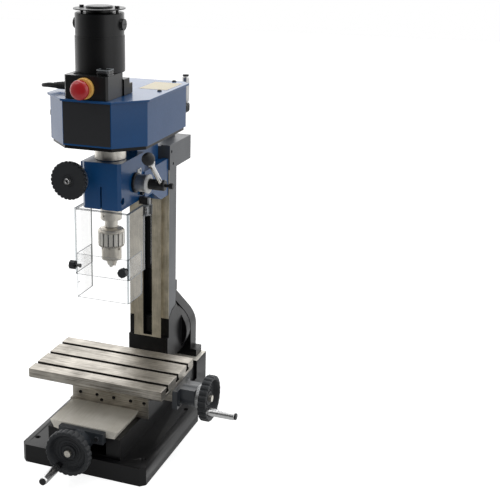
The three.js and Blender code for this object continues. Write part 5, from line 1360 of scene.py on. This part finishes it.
@dataclass
class StopButton:
    """Mushroom button with a soft rim in its yellow collar. Heights run forward from the box's face."""

    face: Point = (-1.5, -79.3, 625.5)
    collar_radius: float = 16.0
    collar_height: float = 5.0
    collar_bore: float = 9.3
    button_back: float = 10.6
    button_front: float = 23.6
    button_radius: float = 15.0
    stem_radius: float = 9.0
    stem_depth: float = 11.0

    def build(self) -> None:
        """Builds the collar and the button."""
        at = placed(Facing.FRONT, self.face)
        bore, radius, height = self.collar_bore, self.collar_radius, self.collar_height
        collar = [(bore, 0), (radius, 0), (radius, height - 1.4), (radius - 0.6, height - 0.4),
                  (radius - 1.4, height), (bore, height), (bore, 0)]
        finished("estop_collar").lathe(collar, at, YELLOW_ABS, 80).done()
        back, front, rim, stem = self.button_back, self.button_front, self.button_radius, self.stem_radius
        crown = [(0, front), (5, front - 0.12), (9.5, front - 0.8), (12.4, front - 2.1), (14.1, front - 3.9),
                 (rim - 0.05, front - 6.2), (rim, front - 8.2), (rim - 0.5, front - 10.6),
                 (rim - 1.8, front - 12.2), (rim - 3, back), (stem, back), (stem, -self.stem_depth),
                 (0, -self.stem_depth)]
        finished("estop_button").lathe(crown, at, RED_ABS, 80).done(60.0)


@dataclass
class MotorLead:
    """Lead from the box of the controls round to the motor's bracket, with its relief."""

    radius: float = 3.0
    way_out: tuple[float, float] = (-52.0, 623.0)
    way_in: tuple[float, float] = (-18.0, 613.5)
    straight: float = 9.0
    bend_steps: int = 8
    bracket_x: float = -38.0
    terminal_depth: float = 8.5
    relief_from: float = -36.3
    relief_length: float = 30.0
    relief_bore: float = 3.1
    relief_flange: float = 7.5
    relief_root: float = 7.3
    relief_taper: float = 3.2
    relief_tip: float = 4.0
    rib_count: int = 6
    rib_depth: float = 0.9
    rib_from_share: float = 0.1
    rib_span_share: float = 0.8

    def build(self) -> None:
        """Builds the lead and its relief."""
        self._lead()
        self._relief()

    def _route(self) -> list[Vector]:
        """Runs the lead out of its relief, round a half turn that sinks, and into the bracket.

        Returns:
            The points of its middle line, in millimetres.
        """
        out_y, out_z = self.way_out
        in_y, in_z = self.way_in
        middle_y, bend = (out_y + in_y) / 2, (in_y - out_y) / 2
        end = self.relief_from - self.relief_length
        turn_x = end - self.straight
        points = [(end - GAP, out_y, out_z), (turn_x, out_y, out_z)]
        for i in range(1, self.bend_steps):
            share = i / self.bend_steps
            turn = math.pi * share
            points.append((turn_x - bend * math.sin(turn), middle_y - bend * math.cos(turn),
                           out_z - (out_z - in_z) * share))
        terminal_x = self.bracket_x + self.terminal_depth - GAP
        points += [(x, in_y, in_z) for x in (turn_x, (turn_x + self.bracket_x) / 2, terminal_x)]
        return smooth_route([Vector(p) for p in points], 6)

    def _lead(self) -> None:
        route = self._route()
        mesh = tube_mesh(route, self.radius, 16)
        mesh.transform(Matrix.Scale(MM, 4))
        mesh.materials.append(RUBBER.material())
        mesh.shade_smooth()
        lead = bpy.data.objects.new("motor_lead", mesh)
        bpy.context.scene.collection.objects.link(lead)
        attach(lead, BODY_OF["control_lead"])
        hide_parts("control_lead")

    def _relief(self) -> None:
        """Builds the lead's tapered relief, with a flange and ribs round it."""
        bore, flange, length = self.relief_bore, self.relief_flange, self.relief_length
        profile = [(bore, 0), (flange, 0), (flange, 2.0)]
        for i in range(self.rib_count):
            share = self.rib_from_share + self.rib_span_share * i / self.rib_count
            z, radius = length * share, self.relief_root - self.relief_taper * share
            inner = radius - self.rib_depth
            profile += [(radius, z), (radius, z + 2.2), (inner, z + 2.5), (inner, z + 3.6)]
        tip = self.relief_tip
        profile += [(tip, length - 0.4), (tip - 0.4, length), (bore, length), (bore, 0)]
        at = placed(Facing.LEFT, (self.relief_from, *self.way_out))
        finished("strain_relief").lathe(profile, at, RUBBER, 32).done()


@dataclass
class Motor:
    """Motor with its bracket, the slots of its brush caps as dark bars of painted shade, and its rotor."""

    y: float = -27.0
    low: float = 644.6
    body_height: float = 87.4
    brush_below: float = 16.7
    radius: float = 38.2
    cap_height: float = 3.0
    slot_half_length: float = 5.5
    slot_half_width: float = 0.7
    slot_sunk: float = 0.3
    slot_proud: float = 0.15

    def build(self) -> None:
        """Builds the motor."""
        stand_in("motor_bracket", 0.8, BLACK_ENAMEL).done()
        body = stand_in("motor_body", 0.5, MOTOR_ENAMEL)
        z = self.low + self.body_height - self.brush_below
        # The brush caps' slots are dark bars of painted shade, for the shade inside the slots
        for facing, side in ((Facing.RIGHT, 1), (Facing.LEFT, -1)):
            slot = bar_mesh((-self.slot_half_length, -self.slot_half_width, -self.slot_sunk),
                            (self.slot_half_length, self.slot_half_width, self.slot_proud))
            body.add(slot, placed(facing, (side * (self.radius + self.cap_height), self.y, z)), SHADOW_HOLE)
        body.done()
        dress(["motor_rotor"], TURNED_STEEL)


@dataclass
class SpindleUnit:
    """Quill, spindle and keyed drill chuck. Heights are the machine's."""

    y: float = 5.0
    sleeve_low: float = 356.5
    sleeve_high: float = 385.0
    sleeve_bore: float = 18.5
    core: float = 20.3
    nose_bore: float = 18.9
    nose: float = 21.85
    flat_count: int = 16
    flat_size: Point = (2.2, 6.1, 20.4)
    flat_rise: float = 3.1
    tooth_count: int = 40
    tooth_size: Point = (1.6, 1.7, 2.6)
    tooth_rise: float = 0.2
    tooth_radius: float = 21.3

    def build(self) -> None:
        """Builds what runs in the head."""
        stand_in("quill", 0.3, TURNED_STEEL).done()
        stand_in("spindle", 0.2, TURNED_STEEL).done()
        stand_in("chuck_body", 0.3, CHUCK_STEEL).done()
        self._sleeve()
        dress(["chuck_jaw_1", "chuck_jaw_2", "chuck_jaw_3"], FLAT_STEEL)
        dress(["spindle_gear"], TURNED_STEEL)

    def _sleeve(self) -> None:
        """Builds the chuck's key sleeve: a dark core, a bright nose, sixteen flats and a ring of teeth."""
        at = placed(Facing.UP, (0, self.y, 0))
        low, high, bore, core = self.sleeve_low, self.sleeve_high, self.sleeve_bore, self.core
        nose_bore, nose = self.nose_bore, self.nose
        sleeve = finished("chuck_sleeve")
        sleeve.lathe([(bore, low), (core, low), (core, high - 5.0), (core + 0.9, high - 4.4),
                      (core + 1.4, high - 3.7), (core + 1.2, high - 2.6), (bore + 0.7, high - 0.3),
                      (bore, high), (bore, low)], at, BLACK_STEEL, 80)
        sleeve.lathe([(nose_bore, high - 4.6), (nose - 0.35, high - 4.6), (nose, high - 4.0),
                      (nose - 0.1, high - 2.7), (nose_bore + 0.4, high - 0.15), (nose_bore, high),
                      (nose_bore, high - 4.6)], at, CHUCK_STEEL, 80)
        flats = alike_ring(self._bar(self.flat_size, 0.3), FLAT_STEEL, self.flat_count, nose)
        sleeve.add(flats, at @ Matrix.Translation((0, 0, low + self.flat_rise)), FLAT_STEEL)
        teeth = alike_ring(self._bar(self.tooth_size, 0.2), CHUCK_STEEL, self.tooth_count, self.tooth_radius)
        sleeve.add(teeth, at @ Matrix.Translation((0, 0, low + self.tooth_rise)), CHUCK_STEEL)
        sleeve.done()

    def _bar(self, size: Point, edge: float) -> bpy.types.Mesh:
        """Makes an upright bar whose outer face is on the YZ plane, from its depth, width and height."""
        depth, width, height = size
        return bar_mesh((-depth, -width / 2, 0), (0, width / 2, height), edge)


@dataclass
class QuillFeed:
    """Graduated depth collar on the pinion's shaft, with the lever and its ball."""

    axis_y: float = 26.0
    axis_z: float = 460.0
    face_x: float = 33.8
    bore: float = 5.3
    flange: float = 16.5
    flange_height: float = 4.0
    drum: float = 14.2
    divisions: int = 40
    mark_length: float = 3.0
    mark_width: float = 0.4
    marks_from: float = 15.8
    drum_top: float = 21.6
    end_ring: float = 15.4
    collar_top: float = 25.0

    def build(self) -> None:
        """Builds the collar, the shaft, the lever and its ball."""
        self._depth_collar()
        stand_in("feed_pinion_shaft", 0.4, BLACK_STEEL).done()
        stand_in("feed_lever", 0.3, CHROME).done()
        stand_in("lever_ball", 0.2, MOULDED_BLACK).done()

    def _depth_collar(self) -> None:
        """Builds the depth collar: dark flange, graduated drum and white end ring."""
        at = placed(Facing.RIGHT, (self.face_x, self.axis_y, self.axis_z))
        bore, flange, rise, drum, top = self.bore, self.flange, self.flange_height, self.drum, self.collar_top
        ring, lap = self.end_ring, 0.1
        collar = finished("depth_collar")
        collar.lathe([(bore, 0), (flange - 0.5, 0), (flange, 0.5), (flange, rise - 0.5), (flange - 0.5, rise),
                      (bore, rise), (bore, 0)], at, BLACK_STEEL)
        collar.lathe([(bore, rise - lap), (drum, rise - lap), (drum, self.drum_top), (bore, self.drum_top),
                      (bore, rise - lap)], at, DIAL_SATIN)
        base = self.drum_top - lap
        collar.lathe([(bore, base), (ring - 0.4, base), (ring, base + 0.4), (ring, top - 0.4),
                      (ring - 0.4, top), (bore, top), (bore, base)], at, WHITE_RING)
        marks = Graduation(self.divisions, drum, self.mark_length, self.mark_width)
        collar.add(marks.mesh(), at @ Matrix.Translation((0, 0, self.marks_from)), INK)
        collar.done()


@dataclass
class FineFeed:
    """Fine feed's graduated shaft with a nut on its end, and its lobed knob."""

    x: float = -43.0
    z: float = 475.0
    dial_y: float = -47.2
    marks: Graduation = Graduation(60, 29.0, 2.2, long_stretch=1.6)
    marks_from: float = 0.4
    nut: float = 4.9
    nut_hole: float = 1.9
    nut_span: tuple[float, float] = (13.9, 18.9)
    # Painted shade: a dark disc at the bottom of the nut's hole
    shade_disc_radius: float = 2.0
    shade_disc_span: tuple[float, float] = (17.0, 17.1)
    knob_y: float = -53.0
    knob: float = 31.0
    knob_bore: float = 4.3
    knob_height: float = 8.0
    knob_lobes: Lobes = Lobes(27, 2.0, 29.5)

    def build(self) -> None:
        """Builds the shaft with its dial and nut, and the knob."""
        self._dial()
        self._knob()

    def _dial(self) -> None:
        """Builds the graduated shaft and the nut on its end, with a dark centre of painted shade in the nut's
        hole.
        """
        at = placed(Facing.FRONT, (self.x, self.dial_y, self.z))
        shaft = stand_in("fine_feed_shaft", 0.2, DIAL_SATIN)
        shaft.add(self.marks.mesh(), at @ Matrix.Translation((0, 0, self.marks_from)), INK)
        hole, nut = self.nut_hole, self.nut
        low, high = self.nut_span
        shaft.lathe([(hole, low), (nut, low), (nut, high - 0.5), (nut - 0.4, high), (hole + 0.4, high),
                     (hole, high - 0.5), (hole, low)], at, CHROME, 32)
        shaft.painted_shade_disc(self.shade_disc_radius, self.shade_disc_span, at, 16)
        shaft.done()

    def _knob(self) -> None:
        """Builds the lobed knob, with its bevelled face."""
        at = placed(Facing.FRONT, (self.x, self.knob_y, self.z))
        bore, rim, top = self.knob_bore, self.knob, self.knob_height
        section = [(bore, 0), (rim - 1.4, 0), (rim - 0.2, 0.9), (rim, 1.8), (rim, top - 1.8),
                   (rim - 0.4, top - 0.8), (rim - 1.4, top - 0.1), (rim - 3.2, top), (rim - 4.1, top - 0.6),
                   (10.5, top - 1.0), (9.6, top - 2.0), (bore, top - 2.0), (bore, 0)]
        finished("fine_feed_knob").lathe(section, at, MOULDED_BLACK, 216, self.knob_lobes).done()


@dataclass
class Guard:
    """Clear chuck guard on its hinge, with the sliding lower part and two thumb knobs."""

    pin_x: float = 45.5
    pin_top: float = 426.0
    sheet_rear: float = 26.0
    level_share: float = 0.5
    rear_share: float = 0.6
    bend_share: float = 0.25

    def build(self) -> None:
        """Builds the guard."""
        stand_in("guard_bracket", 0.4, ZINC, self._bracket_finish).done()
        stand_in("guard_shield", 0.3, CLEAR_SHEET, self._sheet_finish).done()
        stand_in("guard_slider", 0.3, CLEAR_SHEET, self._sheet_finish).done()
        stand_in("guard_knob_front", 0.4, MOULDED_BLACK).done()
        stand_in("guard_knob_side", 0.4, MOULDED_BLACK).done()

    def _bracket_finish(self, middle: Vector, normal: Vector) -> Surface:
        """Gives a face of the bracket its finish: zinc on the hinge pin, black steel elsewhere."""
        return ZINC if middle.x > self.pin_x and middle.z < self.pin_top else BLACK_STEEL

    def _sheet_finish(self, middle: Vector, normal: Vector) -> Surface:
        """Gives a face of the sheet its finish: sawn on edges, painted shade in the bends, clear elsewhere.

        Args:
            middle: of the face.
            normal: of the face.

        Returns:
            The finish.
        """
        level = abs(normal.z) > self.level_share
        rear_edge = normal.y > self.rear_share and middle.y > self.sheet_rear
        if level or rear_edge:
            return SAWN_EDGE
        bent = abs(normal.x) > self.bend_share and abs(normal.y) > self.bend_share
        return BEND_PAINTED_SHADE if bent else CLEAR_SHEET


@dataclass
class Studio:
    """Camera, lamps, floor and background. Sizes are metres, and angles are radians."""

    camera_place: Point = (0.68933, -1.46085, 0.8833)
    yaw: float = 0.39864
    pitch: float = 0.31979
    focal_mm: float = 74.88
    sensor_mm: float = 36.0
    shift_x: float = 0.196
    near: float = 0.05
    far: float = 50.0
    floor_front: float = 1.5
    floor_reach: float = 6.0
    floor_glow: float = 0.78
    floor_colour: str = "#d6d7d7"
    room_light: float = 0.4
    aim_height: float = 0.35
    lamps: tuple[tuple[str, Point, float, float], ...] = (
        ("key", (-1.5, -1.7, 2.3), 1.5, 10.0),
        ("side", (2.1, -0.9, 0.95), 1.8, 7.0),
        ("top", (0.0, 0.3, 2.6), 1.8, 19.0),
    )

    def build(self) -> None:
        """Makes the camera at the photograph's angle, the floor, the lamps and the background."""
        self._camera()
        self._floor()
        self._lamps()
        self._world()
        bpy.context.scene.view_settings.view_transform = "Standard"

    def _camera(self) -> None:
        """Adds the camera, which looks down a little from the front right."""
        data = bpy.data.cameras.new("camera")
        data.lens = self.focal_mm
        data.sensor_width = self.sensor_mm
        data.shift_x = self.shift_x
        data.clip_start, data.clip_end = self.near, self.far
        camera = bpy.data.objects.new("camera", data)
        bpy.context.scene.collection.objects.link(camera)
        sy, cy, sp, cp = math.sin(self.yaw), math.cos(self.yaw), math.sin(self.pitch), math.cos(self.pitch)
        back = Vector((sy * cp, -cy * cp, sp))
        right = Vector((cy, sy, 0))
        turn = Matrix((right, back.cross(right), back)).transposed().to_4x4()
        camera.matrix_world = Matrix.Translation(self.camera_place) @ turn
        bpy.context.scene.camera = camera

    def _floor(self) -> None:
        """Adds a wide pale floor that reads white to the camera and keeps the shadow."""
        mesh = bpy.data.meshes.new("floor")
        reach, front = self.floor_reach, -self.floor_front
        corners = [(-reach, front, 0), (reach, front, 0), (reach, reach, 0), (-reach, reach, 0)]
        mesh.from_pydata(corners, [], [(0, 1, 2, 3)])
        floor = bpy.data.objects.new("floor", mesh)
        bpy.context.scene.collection.objects.link(floor)
        made = bpy.data.materials.new("floor_card")
        self._wire_floor(fresh_tree(made))
        mesh.materials.append(made)

    def _wire_floor(self, tree: bpy.types.NodeTree) -> None:
        """Fills the floor's tree: it glows for the camera, and dimly, by place, in a mirror.

        Args:
            tree: the floor's.
        """
        path = add_node(tree, "ShaderNodeLightPath")
        place = add_node(tree, "ShaderNodeTexCoord")
        parts = add_node(tree, "ShaderNodeSeparateXYZ", {"Vector": (place, "Object")})
        along = add_node(tree, "ShaderNodeMapRange", {
            "Value": (parts, "Y"), "From Min": -0.35, "From Max": 0.7, "To Min": 0.02, "To Max": 1.0})
        across = add_node(tree, "ShaderNodeMapRange", {
            "Value": (parts, "X"), "From Min": -0.8, "From Max": 0.9, "To Min": 1.2, "To Max": 0.33})
        lit = add_node(tree, "ShaderNodeMath", {0: (along, "Result"), 1: (across, "Result")},
                       operation="MULTIPLY")
        mirrored = add_node(tree, "ShaderNodeMath", {0: (lit, 0), 1: (path, "Is Glossy Ray")},
                            operation="MULTIPLY")
        seen = looked_at(tree, path)
        glow = add_node(tree, "ShaderNodeMapRange", {
            "Value": (seen, 0), "To Min": (mirrored, 0), "To Max": self.floor_glow})
        shader = add_node(tree, "ShaderNodeBsdfPrincipled", {
            "Base Color": linear(self.floor_colour), "Roughness": 0.7, "Specular IOR Level": 0.2,
            "Emission Color": WHITE, "Emission Strength": (glow, "Result")})
        add_node(tree, "ShaderNodeOutputMaterial", {"Surface": (shader, "BSDF")})

    def _lamps(self) -> None:
        """Adds the soft lamps, given as (name, place, size, watts)."""
        for name, place, size, power in self.lamps:
            data = bpy.data.lights.new(name, "AREA")
            data.size = size
            data.energy = power
            lamp = bpy.data.objects.new(name, data)
            bpy.context.scene.collection.objects.link(lamp)
            lamp.location = place
            lamp.rotation_mode = "QUATERNION"
            aim = Vector((0, 0, self.aim_height)) - Vector(place)
            lamp.rotation_quaternion = aim.to_track_quat("-Z", "Y")

    def _world(self) -> None:
        """Adds a white room that is dim on the camera's side, as a studio is, and white to look at."""
        world = bpy.data.worlds.new("studio")
        bpy.context.scene.world = world
        tree = fresh_tree(world)
        path = add_node(tree, "ShaderNodeLightPath")
        place = add_node(tree, "ShaderNodeTexCoord")
        parts = add_node(tree, "ShaderNodeSeparateXYZ", {"Vector": (place, "Generated")})
        room = add_node(tree, "ShaderNodeMapRange", {
            "Value": (parts, "Y"), "From Min": -0.9, "From Max": 0.6, "To Min": 0.03, "To Max": 1.9})
        mirrored = add_node(tree, "ShaderNodeMix", {
            "Factor": (path, "Is Glossy Ray"), 2: self.room_light, 3: (room, "Result")}, data_type="FLOAT")
        seen = looked_at(tree, path)
        strength = add_node(tree, "ShaderNodeMix", {"Factor": (seen, 0), 2: (mirrored, 0), 3: 1.0},
                            data_type="FLOAT")
        back = add_node(tree, "ShaderNodeBackground", {"Color": WHITE, "Strength": (strength, 0)})
        add_node(tree, "ShaderNodeOutputWorld", {"Surface": (back, "Background")})


def main() -> None:
    """Builds the studio and each sub-assembly in order."""
    logging.basicConfig(level=logging.INFO)
    Studio().build()
    BaseUnit().build()
    Handwheel("y", Facing.FRONT, face=(0, -145.7, 61), handle_turn=turn_of(-17.5, -26)).build()
    Handwheel("x", Facing.RIGHT, face=(155.3, 5, 112.5), handle_turn=turn_of(-28, -8)).build()
    Handwheel("z", Facing.UP, face=(0, 250, 523.6), handle_turn=20.0, has_dial=False).build()
    CrossSlide().build()
    ColumnUnit().build()
    Head().build()
    DriveHousing().build()
    ControlBox().build()
    StopButton().build()
    MotorLead().build()
    Motor().build()
    SpindleUnit().build()
    QuillFeed().build()
    FineFeed().build()
    Guard().build()


if __name__ == "__main__":
    main()
